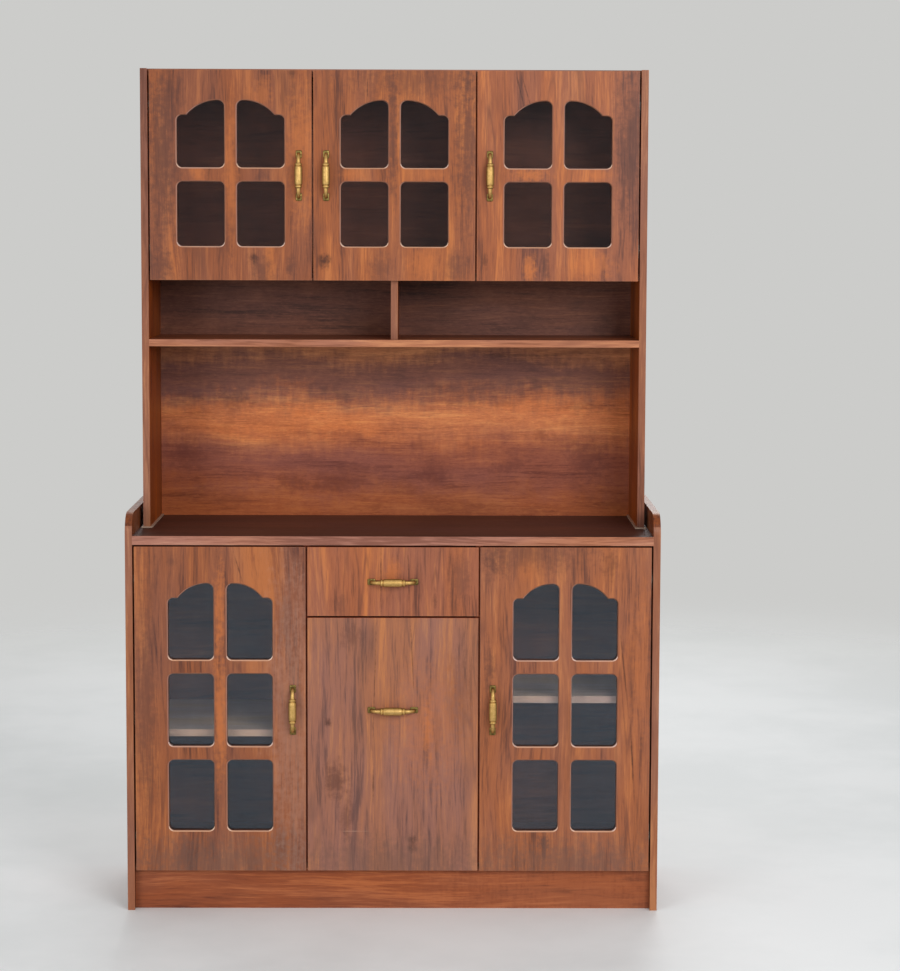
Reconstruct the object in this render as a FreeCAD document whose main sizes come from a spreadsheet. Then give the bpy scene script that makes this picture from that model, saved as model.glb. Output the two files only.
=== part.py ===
# Kitchen cabinet in laminated board: a base with doors, drawer and pull-out, and a glazed hutch on its worktop.
# Millimetres, +Z up, the front faces -Y, origin at the middle of the cabinet's footprint on the floor.
import FreeCAD, Part
import math
import os
import Sketcher

V = FreeCAD.Vector
doc = FreeCAD.newDocument("kitchen_cabinet")
sheet = doc.addObject("Spreadsheet::Sheet", "sizes")


class Size:
    """A length that knows its expression in the sheet and its number."""

    def __init__(self, text, number):
        self.text = text
        self.number = number

    def __add__(self, other):
        return joined(self, "+", other, lambda a, b: a + b)

    def __sub__(self, other):
        return joined(self, "-", other, lambda a, b: a - b)

    def __mul__(self, other):
        return joined(self, "*", other, lambda a, b: a * b)

    def __truediv__(self, other):
        return joined(self, "/", other, lambda a, b: a / b)

    def __neg__(self):
        return Size(f"(-1 * {self.text})", -self.number)


def plain(number):
    return number if isinstance(number, Size) else Size(str(number), number)


def joined(first, sign, second, work):
    second = plain(second)
    return Size(f"({first.text} {sign} {second.text})", work(first.number, second.number))


def size(alias, number):
    """Write one driving dimension into the next row of the sheet."""
    row = size.row
    size.row += 1
    sheet.set(f"A{row}", alias)
    sheet.set(f"B{row}", str(number))
    sheet.setAlias(f"B{row}", alias)
    return Size(f"sizes.{alias}", number)


size.row = 1
zero = Size("0", 0)
close = 1e-6

# Boards and the gaps round the fronts
board = size("board_thickness", 16)
worktop_board = size("worktop_thickness", 20)
back_board = size("back_thickness", 4)
front_board = size("front_thickness", 16)
front_gap = size("front_gap", 4)
rear_gap = size("gap_behind_fronts", 3)

# Base
base_width = size("base_width", 1200)
base_depth = size("base_depth", 400)
worktop_height = size("worktop_height", 855)
ear_rise = size("ear_rise", 50)
ear_radius = size("ear_radius", 45)
plinth_height = size("plinth_height", 90)
front_lift = size("front_lift_over_plinth", 2)
drawer_front_height = size("drawer_front_height", 156)
left_shelf_height = size("left_shelf_height", 408)
right_shelf_height = size("right_shelf_height", 486)
shelf_set_back = size("shelf_set_back", 22)
shelf_play = size("shelf_play", 1)

# Hutch
hutch_step = size("hutch_step_in", 25)
hutch_depth = size("hutch_depth", 252)
total_height = size("total_height", 1900)
hutch_door_height = size("hutch_door_height", 474)
door_top_gap = size("door_top_gap", 3)
door_drop = size("door_drop_below_floor", 1)
niche_height = size("niche_height", 136)
foot_width = size("foot_strip_width", 25)
foot_height = size("foot_strip_height", 3)

# Panes cut in the doors, from the door's top edge down
hutch_stile = size("hutch_stile", 62)
hutch_muntin = size("hutch_muntin", 29)
hutch_top_rail = size("hutch_top_rail", 68)
hutch_upper_pane = size("hutch_upper_pane", 151)
hutch_cross_bar = size("hutch_cross_bar", 32)
hutch_bottom_rail = size("hutch_bottom_rail", 77)
base_stile = size("base_stile", 75)
base_muntin = size("base_muntin", 30)
base_top_rail = size("base_top_rail", 83)
base_upper_pane = size("base_upper_pane", 173)
base_cross_bar = size("base_cross_bar", 32)
base_middle_pane = size("base_middle_pane", 165)
base_bottom_rail = size("base_bottom_rail", 92)
pane_radius = size("pane_corner_radius", 12)
arch_rise = size("arch_rise", 33)
arch_step = size("arch_step", 10)
peak_radius = size("arch_peak_radius", 14)
pane_round = size("pane_edge_radius", 3)

# Glass and its clips
glass_thickness = size("glass_thickness", 4)
glass_lap = size("glass_lap", 9)
glass_play = size("glass_play", 0.5)
rebate_depth = size("rebate_depth", 5)
clip_width = size("clip_width", 12)
clip_reach = size("clip_reach", 6)
clip_foot = size("clip_foot", 9)
clip_thickness = size("clip_thickness", 2)

# Pulls
pull_standoff = size("pull_standoff", 19)
pull_edge = size("pull_edge_distance", 29)
pull_hole_spacing = size("pull_hole_spacing", 96)
pull_length = size("pull_length", 114)
tab_width = size("tab_width", 14)
tab_length = size("tab_length", 18)
tab_thickness = size("tab_thickness", 3)
tab_corner = size("tab_corner_radius", 3)
neck_radius = size("neck_radius", 3.6)
collar_radius = size("collar_radius", 7)
collar_length = size("collar_length", 4)
collar_bevel = size("collar_bevel", 1)
grip_length = size("grip_length", 44)
grip_radius = size("grip_radius", 5.2)
grip_swell = size("grip_swell", 1.1)
screw_radius = size("screw_radius", 2)
screw_play = size("screw_play", 0.2)
screw_bite = size("screw_bite", 2.4)
screw_head_radius = size("screw_head_radius", 4)
screw_head = size("screw_head_height", 2.2)

# Cup hinges, measured from the board or door that the hinge edge faces
pin_edge = size("pin_edge_distance", 6.5)
pin_depth = size("pin_depth", 7.2)
pin_radius = size("pin_radius", 1.25)
pin_play = size("pin_play", 0.05)
pin_seat_play = size("pin_seat_play", 0.02)
pin_length = size("pin_length", 22.4)
pin_tip = size("pin_tip_radius", 0.15)
eye_radius = size("eye_radius", 2.4)
cup_radius = size("cup_radius", 17.4)
cup_play = size("cup_play", 0.1)
cup_wall = size("cup_wall", 0.7)
cup_depth = size("cup_depth", 12.5)
cup_edge = size("cup_edge_distance", 2)
flange_width = size("flange_width", 22)
flange_length = size("flange_length", 58)
flange_corner = size("flange_corner_radius", 8)
flange_thickness = size("flange_thickness", 1)
arm_width = size("arm_width", 10)
arm_bar = size("arm_bar_thickness", 2.6)
arm_leg = size("arm_leg_thickness", 3)
arm_reach = size("arm_reach", 11.5)
arm_bend = size("arm_bend_radius", 2)
arm_body = size("arm_body_thickness", 5)
arm_length = size("arm_length", 42)
bridge_gap = size("bridge_gap", 2.6)
plate_thickness = size("plate_thickness", 3)
plate_length = size("plate_length", 34)
plate_height = size("plate_height", 48)
plate_waist = size("plate_waist", 16)
plate_start = size("plate_start", 10)
hinge_inset = size("hinge_inset", 75)

# Drawers and runners
runner_space = size("runner_space", 13)
runner_height = size("runner_height", 40)
runner_sheet = size("runner_sheet", 1.5)
runner_play = size("runner_play", 0.5)
runner_length = size("runner_length", 350)
drawer_board = size("drawer_board_thickness", 12)
drawer_length = size("drawer_length", 340)
drawer_side_height = size("drawer_side_height", 110)
drawer_lift = size("drawer_lift", 19)
pullout_side_height = size("pullout_side_height", 435)
pullout_lift = size("pullout_lift", 33)
pullout_runner_lift = size("pullout_runner_lift", 60)
drawer_bottom_board = size("drawer_bottom_thickness", 4)

# Dowels and shelf pins
dowel_radius = size("dowel_radius", 4)
dowel_length = size("dowel_length", 22)
hole_play = size("hole_play", 0.1)
dowel_inset = size("dowel_inset", 60)
shelf_pin_radius = size("shelf_pin_radius", 2.5)
shelf_pin_length = size("shelf_pin_length", 16)
shelf_pin_inset = size("shelf_pin_inset", 45)
doc.recompute()

# Planes that several pieces share
pull_projection = pull_standoff + collar_radius
front = (pull_projection - base_depth) / 2
rear = front + base_depth
inner_front = front + front_board + rear_gap
back_face = rear - back_board
side_inside = base_width / 2 - board
worktop_under = worktop_height - worktop_board
base_floor = plinth_height + board
base_front_width = (side_inside * 2 - front_gap * 4) / 3
base_fronts_top = worktop_under - front_gap
base_fronts_low = plinth_height + front_lift
base_door_height = base_fronts_top - base_fronts_low
base_split = base_front_width / 2 + front_gap / 2
partition_inside = base_split - board / 2
hutch_width = base_width - hutch_step * 2
hutch_inside = hutch_width / 2 - board
hutch_front = rear - hutch_depth
hutch_inner_front = hutch_front + front_board + rear_gap
hutch_front_width = (hutch_inside * 2 - front_gap * 4) / 3
hutch_split = hutch_front_width / 2 + front_gap / 2
hutch_door_top = total_height - door_top_gap
hutch_door_low = hutch_door_top - hutch_door_height
cupboard_floor_under = hutch_door_low + door_drop
open_shelf_height = cupboard_floor_under - niche_height
hutch_foot = worktop_height + foot_height
pull_height = base_fronts_low + base_door_height / 2


def board_between(label, x, y, z):
    """A straight board between two planes in each direction."""
    box = doc.addObject("Part::Box", label)
    box.Label = label
    for side, axis, (low, high) in zip(("Length", "Width", "Height"), "xyz", (x, y, z)):
        box.setExpression(side, (high - low).text)
        box.setExpression(f".Placement.Base.{axis}", low.text)
    return box


def plane_sketch(body, role, offset=None):
    """A sketch on one of the body's own planes, moved along the plane's normal."""
    sketch = body.newObject("Sketcher::SketchObject", "sketch")
    plane = [item for item in body.Origin.OriginFeatures if item.Role == role][0]
    sketch.AttachmentSupport = [(plane, "")]
    sketch.MapMode = "FlatFace"
    if offset is not None:
        sketch.setExpression("AttachmentOffset.Base.z", offset.text)
    return sketch


def place_point(sketch, geometry, position, x, y):
    """Tie one point of the sketch to its two coordinates."""
    for kind, axis, coordinate in (("DistanceX", -2, x), ("DistanceY", -1, y)):
        if coordinate.number == 0:
            sketch.addConstraint(Sketcher.Constraint("PointOnObject", geometry, position, axis))
        else:
            rule = Sketcher.Constraint(kind, -1, 1, geometry, position, coordinate.number)
            index = sketch.addConstraint(rule)
            sketch.setExpression(f"Constraints[{index}]", coordinate.text)


def arc_middle(start, end, radius, turn):
    """The middle point of the short arc from start to end; turn 1 bends left, -1 right."""
    chord = end - start
    half = chord.Length / 2
    rise = radius - math.sqrt(max(radius * radius - half * half, 0))
    left = V(-chord.y, chord.x, 0) / chord.Length
    return (start + end) / 2 - left * (turn * rise)


def outline(sketch, steps):
    """A closed outline: each step is a start point, and for an arc also its radius and turn."""
    points = [V(step[0].number, step[1].number, 0) for step in steps]
    ends = []
    for index, step in enumerate(steps):
        start = points[index]
        end = points[(index + 1) % len(points)]
        if len(step) == 2:
            curve = Part.LineSegment(start, end)
        else:
            curve = Part.Arc(start, arc_middle(start, end, step[2].number, step[3]), end)
        geometry = sketch.addGeometry(curve)
        first = 1 if (sketch.getPoint(geometry, 1) - start).Length < close else 2
        ends.append((geometry, first, 3 - first))
    for index, step in enumerate(steps):
        geometry, first, last = ends[index]
        following, following_first, _ = ends[(index + 1) % len(ends)]
        sketch.addConstraint(Sketcher.Constraint("Coincident", geometry, last, following, following_first))
        place_point(sketch, geometry, first, step[0], step[1])
        if len(step) == 4:
            rule = sketch.addConstraint(Sketcher.Constraint("Radius", geometry, step[2].number))
            sketch.setExpression(f"Constraints[{rule}]", step[2].text)


def rectangle(sketch, x, y):
    outline(sketch, [(x[0], y[0]), (x[1], y[0]), (x[1], y[1]), (x[0], y[1])])


def rounded_rectangle(sketch, x, y, radius):
    outline(sketch, [
        (x[0] + radius, y[0]),
        (x[1] - radius, y[0], radius, 1),
        (x[1], y[0] + radius),
        (x[1], y[1] - radius, radius, 1),
        (x[1] - radius, y[1]),
        (x[0] + radius, y[1], radius, 1),
        (x[0], y[1] - radius),
        (x[0], y[0] + radius, radius, 1),
    ])


def circle(sketch, x, y, radius):
    centre = V(x.number, y.number, 0)
    geometry = sketch.addGeometry(Part.Circle(centre, V(0, 0, 1), radius.number))
    place_point(sketch, geometry, 3, x, y)
    rule = sketch.addConstraint(Sketcher.Constraint("Radius", geometry, radius.number))
    sketch.setExpression(f"Constraints[{rule}]", radius.text)


def extrude(body, kind, sketch, length=None, reverse=False, both=False):
    """A Pad or Pocket of the sketch; a pocket without a length goes through all."""
    before = body.Shape.Volume if body.Tip else 0
    feature = body.newObject(f"PartDesign::{kind}", kind.lower())
    feature.Profile = sketch
    feature.Reversed = reverse
    if both:
        feature.SideType = "Symmetric"
    if length is None:
        feature.Type = "ThroughAll"
    else:
        feature.setExpression("Length", length.text)
    doc.recompute()
    grown = body.Shape.Volume - before
    if (grown > 0) != (kind == "Pad") or abs(grown) < close:
        raise RuntimeError(f"{body.Label}: {kind} changed the volume by {grown}")
    return feature


def new_body(label):
    body = doc.addObject("PartDesign::Body", label)
    body.Label = label
    return body


def set_place(thing, x, y, z):
    for axis, coordinate in zip("xyz", (x, y, z)):
        thing.setExpression(f".Placement.Base.{axis}", coordinate.text)


def group(label, shapes):
    """Like pieces that share one node, each a solid of its own."""
    thing = doc.addObject("Part::Feature", label)
    thing.Label = label
    thing.Shape = Part.makeCompound(shapes)
    return thing


def drilled(label, blank, tool):
    """The board with the holes that the tool's cylinders leave in it."""
    blank.Label = f"{label} blank"
    cut = doc.addObject("Part::Cut", label)
    cut.Label = label
    cut.Base = blank
    cut.Tool = tool
    return cut


def rod(centre, along, radius, length):
    return Part.makeCylinder(radius, length, centre - along * (length / 2), along)


# Dowels cross each joint between two boards, half in each
X = V(1, 0, 0)
Z = V(0, 0, 1)
base_dowel_y = [(inner_front + dowel_inset).number, (back_face - dowel_inset).number]
hutch_dowel_y = [(hutch_inner_front + dowel_inset).number, (back_face - dowel_inset).number]
plinth_y = (inner_front + board / 2).number
dowel_places = []
for side in (-1, 1):
    base_x = side * side_inside.number
    hutch_x = side * hutch_inside.number
    split_x = side * base_split.number
    foot_x = side * (hutch_width / 2 - board / 2).number
    for y in base_dowel_y:
        dowel_places.append((V(base_x, y, (worktop_height - worktop_board / 2).number), X))
        dowel_places.append((V(base_x, y, (base_floor - board / 2).number), X))
        dowel_places.append((V(split_x, y, worktop_under.number), Z))
        dowel_places.append((V(split_x, y, base_floor.number), Z))
    dowel_places.append((V(base_x, plinth_y, (plinth_height / 2).number), X))
    for y in hutch_dowel_y:
        dowel_places.append((V(hutch_x, y, (total_height - board / 2).number), X))
        dowel_places.append((V(hutch_x, y, (cupboard_floor_under + board / 2).number), X))
        dowel_places.append((V(hutch_x, y, (open_shelf_height - board / 2).number), X))
        dowel_places.append((V(foot_x, y, (worktop_height + foot_height / 2).number), Z))
for y in hutch_dowel_y:
    dowel_places.append((V(hutch_split.number, y, (total_height - board).number), Z))
    dowel_places.append((V(hutch_split.number, y, (cupboard_floor_under + board).number), Z))
    dowel_places.append((V(0, y, cupboard_floor_under.number), Z))
    dowel_places.append((V(0, y, open_shelf_height.number), Z))

# Shelf pins stand half in the side or partition and carry a shelf at each corner
base_shelf_front = inner_front + shelf_set_back
pin_places = []
for side, height in ((-1, left_shelf_height), (1, right_shelf_height)):
    pin_z = (height - board - shelf_pin_radius).number
    for face in (side_inside, base_split + board / 2):
        for y in (base_shelf_front + shelf_pin_inset, back_face - shelf_pin_inset):
            pin_places.append((V(side * face.number, y.number, pin_z), X))

hole_radius = (dowel_radius + hole_play).number
hole_length = (dowel_length + hole_play * 2).number
pin_hole_radius = (shelf_pin_radius + hole_play).number
pin_hole_length = (shelf_pin_length + hole_play * 2).number
holes = group("carcass holes", [rod(place, along, hole_radius, hole_length) for place, along in dowel_places]
              + [rod(place, along, pin_hole_radius, pin_hole_length) for place, along in pin_places])
dowels = group("carcass_dowels", [rod(place, along, dowel_radius.number, dowel_length.number)
                                  for place, along in dowel_places])
shelf_pins = group("shelf_pins", [rod(place, along, shelf_pin_radius.number, shelf_pin_length.number)
                                  for place, along in pin_places])
nodes = [dowels, shelf_pins]


# Base sides: boards that rise past the worktop as ears with a rounded front corner
def base_side(label, low):
    body = new_body(f"{label} board")
    sketch = plane_sketch(body, "YZ_Plane", low)
    top = worktop_height + ear_rise
    outline(sketch, [
        (front, zero),
        (rear, zero),
        (rear, top),
        (front + ear_radius, top, ear_radius, 1),
        (front, top - ear_radius),
    ])
    extrude(body, "Pad", sketch, board)
    return drilled(label, body, holes)


nodes.append(base_side("base_left_side", -base_width / 2))
nodes.append(base_side("base_right_side", side_inside))


# Straight boards of the base
def carcass_board(label, x, y, z):
    nodes.append(drilled(label, board_between(f"{label}_blank", x, y, z), holes))


across = (-side_inside, side_inside)
base_run = (inner_front, back_face)
carcass_board("worktop", across, (front, rear), (worktop_under, worktop_height))
carcass_board("base_bottom", across, base_run, (plinth_height, base_floor))
carcass_board("plinth", across, (inner_front, inner_front + board), (zero, plinth_height))
for name, centre in (("left", -base_split), ("right", base_split)):
    width = (centre - board / 2, centre + board / 2)
    carcass_board(f"base_{name}_partition", width, base_run, (base_floor, worktop_under))
nodes.append(board_between("base_back", across, (back_face, rear), (plinth_height, worktop_under)))
shelf_run = (base_shelf_front, back_face - shelf_play)
shelf_near = base_split + board / 2 + shelf_play
shelf_far = side_inside - shelf_play
left_shelf = board_between("left shelf", (-shelf_far, -shelf_near), shelf_run,
                           (left_shelf_height - board, left_shelf_height))
right_shelf = board_between("right shelf", (shelf_near, shelf_far), shelf_run,
                            (right_shelf_height - board, right_shelf_height))
shelves = doc.addObject("Part::Compound", "base_shelves")
shelves.Label = "base_shelves"
shelves.Links = [left_shelf, right_shelf]
nodes.append(shelves)

# Straight boards of the hutch, and the strips under its sides
hutch_run = (hutch_inner_front, back_face)
hutch_across = (-hutch_inside, hutch_inside)
for name, low in (("left", -hutch_width / 2), ("right", hutch_inside)):
    carcass_board(f"hutch_{name}_side", (low, low + board), (hutch_front, rear), (hutch_foot, total_height))
carcass_board("hutch_top", hutch_across, hutch_run, (total_height - board, total_height))
cupboard_floor = cupboard_floor_under + board
carcass_board("hutch_cupboard_floor", hutch_across, hutch_run, (cupboard_floor_under, cupboard_floor))
carcass_board("hutch_partition", (hutch_split - board / 2, hutch_split + board / 2), hutch_run,
              (cupboard_floor, total_height - board))
carcass_board("hutch_open_shelf", hutch_across, (hutch_front, back_face),
              (open_shelf_height - board, open_shelf_height))
carcass_board("hutch_shelf_divider", (-board / 2, board / 2), hutch_run,
              (open_shelf_height, cupboard_floor_under))
nodes.append(board_between("hutch_back", hutch_across, (back_face, rear), (worktop_height, total_height)))
foot_overhang = (foot_width - board) / 2
strips = []
for name, low in (("left", -hutch_width / 2), ("right", hutch_inside)):
    width = (low - foot_overhang, low + board + foot_overhang)
    strip = board_between(f"{name} foot strip", width, (hutch_front, back_face), (worktop_height, hutch_foot))
    strips.append(drilled(f"{name} drilled foot strip", strip, holes))
foot_strips = doc.addObject("Part::Compound", "hutch_foot_strips")
foot_strips.Label = "hutch_foot_strips"
foot_strips.Links = strips
nodes.append(foot_strips)


# Pull: a turned grip between two collars, curved necks and flat end tabs; its own origin is the grip's middle
def make_pull():
    body = new_body("pull")
    half_grip = grip_length / 2
    end = half_grip + collar_length
    swell_radius = (half_grip * half_grip + grip_swell * grip_swell) / (grip_swell * 2)
    sketch = plane_sketch(body, "XZ_Plane")
    outline(sketch, [
        (zero, -end),
        (collar_radius - collar_bevel, -end),
        (collar_radius, -end + collar_bevel),
        (collar_radius, -half_grip - collar_bevel),
        (collar_radius - collar_bevel, -half_grip),
        (grip_radius, -half_grip, swell_radius, 1),
        (grip_radius, half_grip),
        (collar_radius - collar_bevel, half_grip),
        (collar_radius, half_grip + collar_bevel),
        (collar_radius, end - collar_bevel),
        (collar_radius - collar_bevel, end),
        (zero, end),
    ])
    turned = body.newObject("PartDesign::Revolution", "grip")
    turned.Profile = sketch
    turned.ReferenceAxis = (sketch, ["V_Axis"])
    turned.Angle = 360
    doc.recompute()
    bend = pull_standoff - tab_thickness
    foot = pull_hole_spacing / 2
    for side in (-1, 1):
        section = plane_sketch(body, "XY_Plane", half_grip * side)
        circle(section, zero, zero, neck_radius)
        path = plane_sketch(body, "YZ_Plane")
        points = [(zero, half_grip * side), (zero, (foot - bend) * side), (bend, foot * side),
                  (bend + tab_thickness / 2, foot * side)]
        places = [V(y.number, z.number, 0) for y, z in points]
        straight = path.addGeometry(Part.LineSegment(places[0], places[1]))
        middle = arc_middle(places[1], places[2], bend.number, -side)
        curve = path.addGeometry(Part.Arc(places[1], middle, places[2]))
        seat = path.addGeometry(Part.LineSegment(places[2], places[3]))
        first = 1 if (path.getPoint(curve, 1) - places[1]).Length < close else 2
        path.addConstraint(Sketcher.Constraint("Coincident", straight, 2, curve, first))
        path.addConstraint(Sketcher.Constraint("Coincident", curve, 3 - first, seat, 1))
        for geometry, position, point in ((straight, 1, 0), (straight, 2, 1), (seat, 1, 2), (seat, 2, 3)):
            place_point(path, geometry, position, *points[point])
        rule = path.addConstraint(Sketcher.Constraint("Radius", curve, bend.number))
        path.setExpression(f"Constraints[{rule}]", bend.text)
        doc.recompute()
        neck = body.newObject("PartDesign::AdditivePipe", "neck")
        neck.Profile = section
        neck.Spine = (path, ["Edge1", "Edge2", "Edge3"])
        doc.recompute()
        tab = plane_sketch(body, "XZ_Plane", -pull_standoff)
        tip = pull_length / 2
        tab_z = (tip - tab_length, tip) if side > 0 else (-tip, tab_length - tip)
        rounded_rectangle(tab, (-tab_width / 2, tab_width / 2), tab_z, tab_corner)
        extrude(body, "Pad", tab, tab_thickness)
        hole = plane_sketch(body, "XZ_Plane", -pull_standoff)
        circle(hole, zero, foot * side, screw_radius + hole_play)
        extrude(body, "Pocket", hole, screw_bite + hole_play, reverse=True)
    return body


pull = make_pull()


def pull_node(label, x, y, z, level):
    """The pull on a front at its place, with the two screws that come through the front."""
    shapes = [pull.Shape.copy()]
    face = pull_standoff.number
    back = V(0, 1, 0)
    for side in (-1, 1):
        start = V(0, face - screw_bite.number, side * pull_hole_spacing.number / 2)
        shank = Part.makeCylinder(screw_radius.number, (front_board + screw_bite).number, start, back)
        seat = start + back * (front_board + screw_bite).number
        head = Part.makeCylinder(screw_head_radius.number, screw_head.number, seat, back)
        shapes.append(shank.fuse(head).removeSplitter())
    thing = group(label, shapes)
    turn = FreeCAD.Rotation(back, 90 if level else 0)
    thing.Placement = FreeCAD.Placement(V(x.number, (y - pull_standoff).number, z.number), turn)
    nodes.append(thing)


# Hinge cup: a round steel cup with a flange on the door's back; X runs from the board beside the hinge edge
cup_centre = front_gap + cup_edge + cup_radius + cup_play
pin_x = front_gap + pin_edge


def make_cup():
    body = new_body("hinge cup")
    shell = plane_sketch(body, "XZ_Plane", -front_board)
    circle(shell, cup_centre, zero, cup_radius)
    extrude(body, "Pad", shell, cup_depth)
    flange = plane_sketch(body, "XZ_Plane", -front_board)
    flange_x = (cup_centre - flange_width / 2, cup_centre + flange_width / 2)
    rounded_rectangle(flange, flange_x, (-flange_length / 2, flange_length / 2), flange_corner)
    extrude(body, "Pad", flange, flange_thickness, reverse=True)
    mouth = plane_sketch(body, "XZ_Plane", -front_board - flange_thickness)
    circle(mouth, cup_centre, zero, cup_radius - cup_wall)
    extrude(body, "Pocket", mouth, cup_depth + flange_thickness - cup_wall, reverse=True)
    seat = plane_sketch(body, "XY_Plane")
    circle(seat, pin_x, pin_depth, pin_radius + pin_seat_play)
    extrude(body, "Pocket", seat, cup_radius * 2, both=True)
    return body


# Hinge arm: a swan neck from the pin, out of the cup, over the door's edge and back along the board
def make_arm(label, face):
    body = new_body(label)
    leg_in = pin_x + arm_reach
    leg_out = leg_in + arm_leg
    bridge_low = front_board + bridge_gap
    bridge_high = bridge_low + arm_leg
    body_in = face + plate_thickness
    body_out = body_in + arm_body
    body_end = bridge_low + arm_length
    bar_low = pin_depth - arm_bar / 2
    bar_high = pin_depth + arm_bar / 2
    profile = plane_sketch(body, "XY_Plane")
    outline(profile, [
        (pin_x, bar_low),
        (leg_out - arm_bend, bar_low, arm_bend, 1),
        (leg_out, bar_low + arm_bend),
        (leg_out, bridge_high - arm_bend, arm_bend, 1),
        (leg_out - arm_bend, bridge_high),
        (body_out, bridge_high),
        (body_out, body_end),
        (body_in, body_end),
        (body_in, bridge_low),
        (leg_in, bridge_low),
        (leg_in, bar_high),
        (pin_x, bar_high),
    ])
    extrude(body, "Pad", profile, arm_width, both=True)
    eye = plane_sketch(body, "XY_Plane")
    circle(eye, pin_x, pin_depth, eye_radius)
    extrude(body, "Pad", eye, arm_width, both=True)
    bore = plane_sketch(body, "XY_Plane")
    circle(bore, pin_x, pin_depth, pin_radius + pin_play)
    extrude(body, "Pocket", bore, arm_width * 2, both=True)
    return body


# Mounting plate: a winged plate between the arm and the board that carries it
def make_plate(label, face):
    body = new_body(label)
    start = front_board + bridge_gap + plate_start
    end = start + plate_length
    wing_start = start + (plate_length - plate_waist) / 2
    wing_end = wing_start + plate_waist
    waist = plate_waist / 2
    tall = plate_height / 2
    profile = plane_sketch(body, "YZ_Plane", face)
    outline(profile, [
        (start, -waist),
        (wing_start, -waist),
        (wing_start, -tall),
        (wing_end, -tall),
        (wing_end, -waist),
        (end, -waist),
        (end, waist),
        (wing_end, waist),
        (wing_end, tall),
        (wing_start, tall),
        (wing_start, waist),
        (start, waist),
    ])
    extrude(body, "Pad", profile, plate_thickness)
    return body


cup = make_cup()
pin_blank = rod(V(pin_x.number, pin_depth.number, 0), Z, pin_radius.number, pin_length.number)
pin_rims = [edge for edge in pin_blank.Edges if edge.isClosed()]
hinge_pin = pin_blank.makeChamfer((pin_radius - pin_tip).number, pin_rims)
lapped = front_gap / 2 + board / 2
arms = {"side": make_arm("side arm", zero), "partition": make_arm("partition arm", lapped)}
plates = {"side": make_plate("side plate", zero), "partition": make_plate("partition plate", lapped)}


def hinge_shape(shape, facing, x, y, z):
    """A hinge piece set at the board face x; facing 1 opens to +X, -1 is its mirror image."""
    placed = shape.copy() if facing > 0 else shape.mirror(V(0, 0, 0), X)
    placed.translate(V(x.number, y.number, z.number))
    return placed


# Glass clip: a small plate on the door's back with a lip on the glass; X points to the middle of the pane
def make_clip():
    body = new_body("glass clip")
    top = front_board + clip_thickness
    low = front_board - rebate_depth + glass_thickness
    lip = glass_play * 2
    profile = plane_sketch(body, "XY_Plane")
    outline(profile, [
        (-clip_foot, front_board),
        (lip, front_board),
        (lip, low),
        (clip_reach, low),
        (clip_reach, top),
        (-clip_foot, top),
    ])
    extrude(body, "Pad", profile, clip_width, both=True)
    return body


clip = make_clip()


def arched_pane(sketch, side, near, far, low, high):
    """A pane with a rounded outer shoulder, a short step and an arc that peaks beside the middle bar."""
    shoulder = high - arch_rise
    cusp = far - pane_radius - arch_step
    peak = near + peak_radius
    run = cusp - peak
    arch = (run * run + arch_rise * arch_rise) / (arch_rise * 2)
    outline(sketch, [
        ((near + pane_radius) * side, low),
        ((far - pane_radius) * side, low, pane_radius, side),
        (far * side, low + pane_radius),
        (far * side, shoulder - pane_radius, pane_radius, side),
        ((far - pane_radius) * side, shoulder),
        (cusp * side, shoulder, arch, side),
        (peak * side, high, peak_radius, side),
        (near * side, high - peak_radius),
        (near * side, low + pane_radius, pane_radius, side),
    ])


def square_pane(sketch, side, near, far, low, high):
    x = (near, far) if side > 0 else (-far, -near)
    rounded_rectangle(sketch, x, (low, high), pane_radius)


def round_panes(body, far):
    """Round the front edges of the cut panes, as a router leaves them."""
    names = []
    for index, edge in enumerate(body.Shape.Edges):
        bounds = edge.BoundBox
        if bounds.YMax < close and bounds.XMin > -far.number - close and bounds.XMax < far.number + close:
            names.append(f"Edge{index + 1}")
    cut = body.Tip
    rounded = body.newObject("PartDesign::Fillet", "pane edges")
    rounded.Base = (cut, names)
    rounded.setExpression("Radius", pane_round.text)
    doc.recompute()


hinge_arm_shapes = []
hinge_plate_shapes = []


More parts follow.
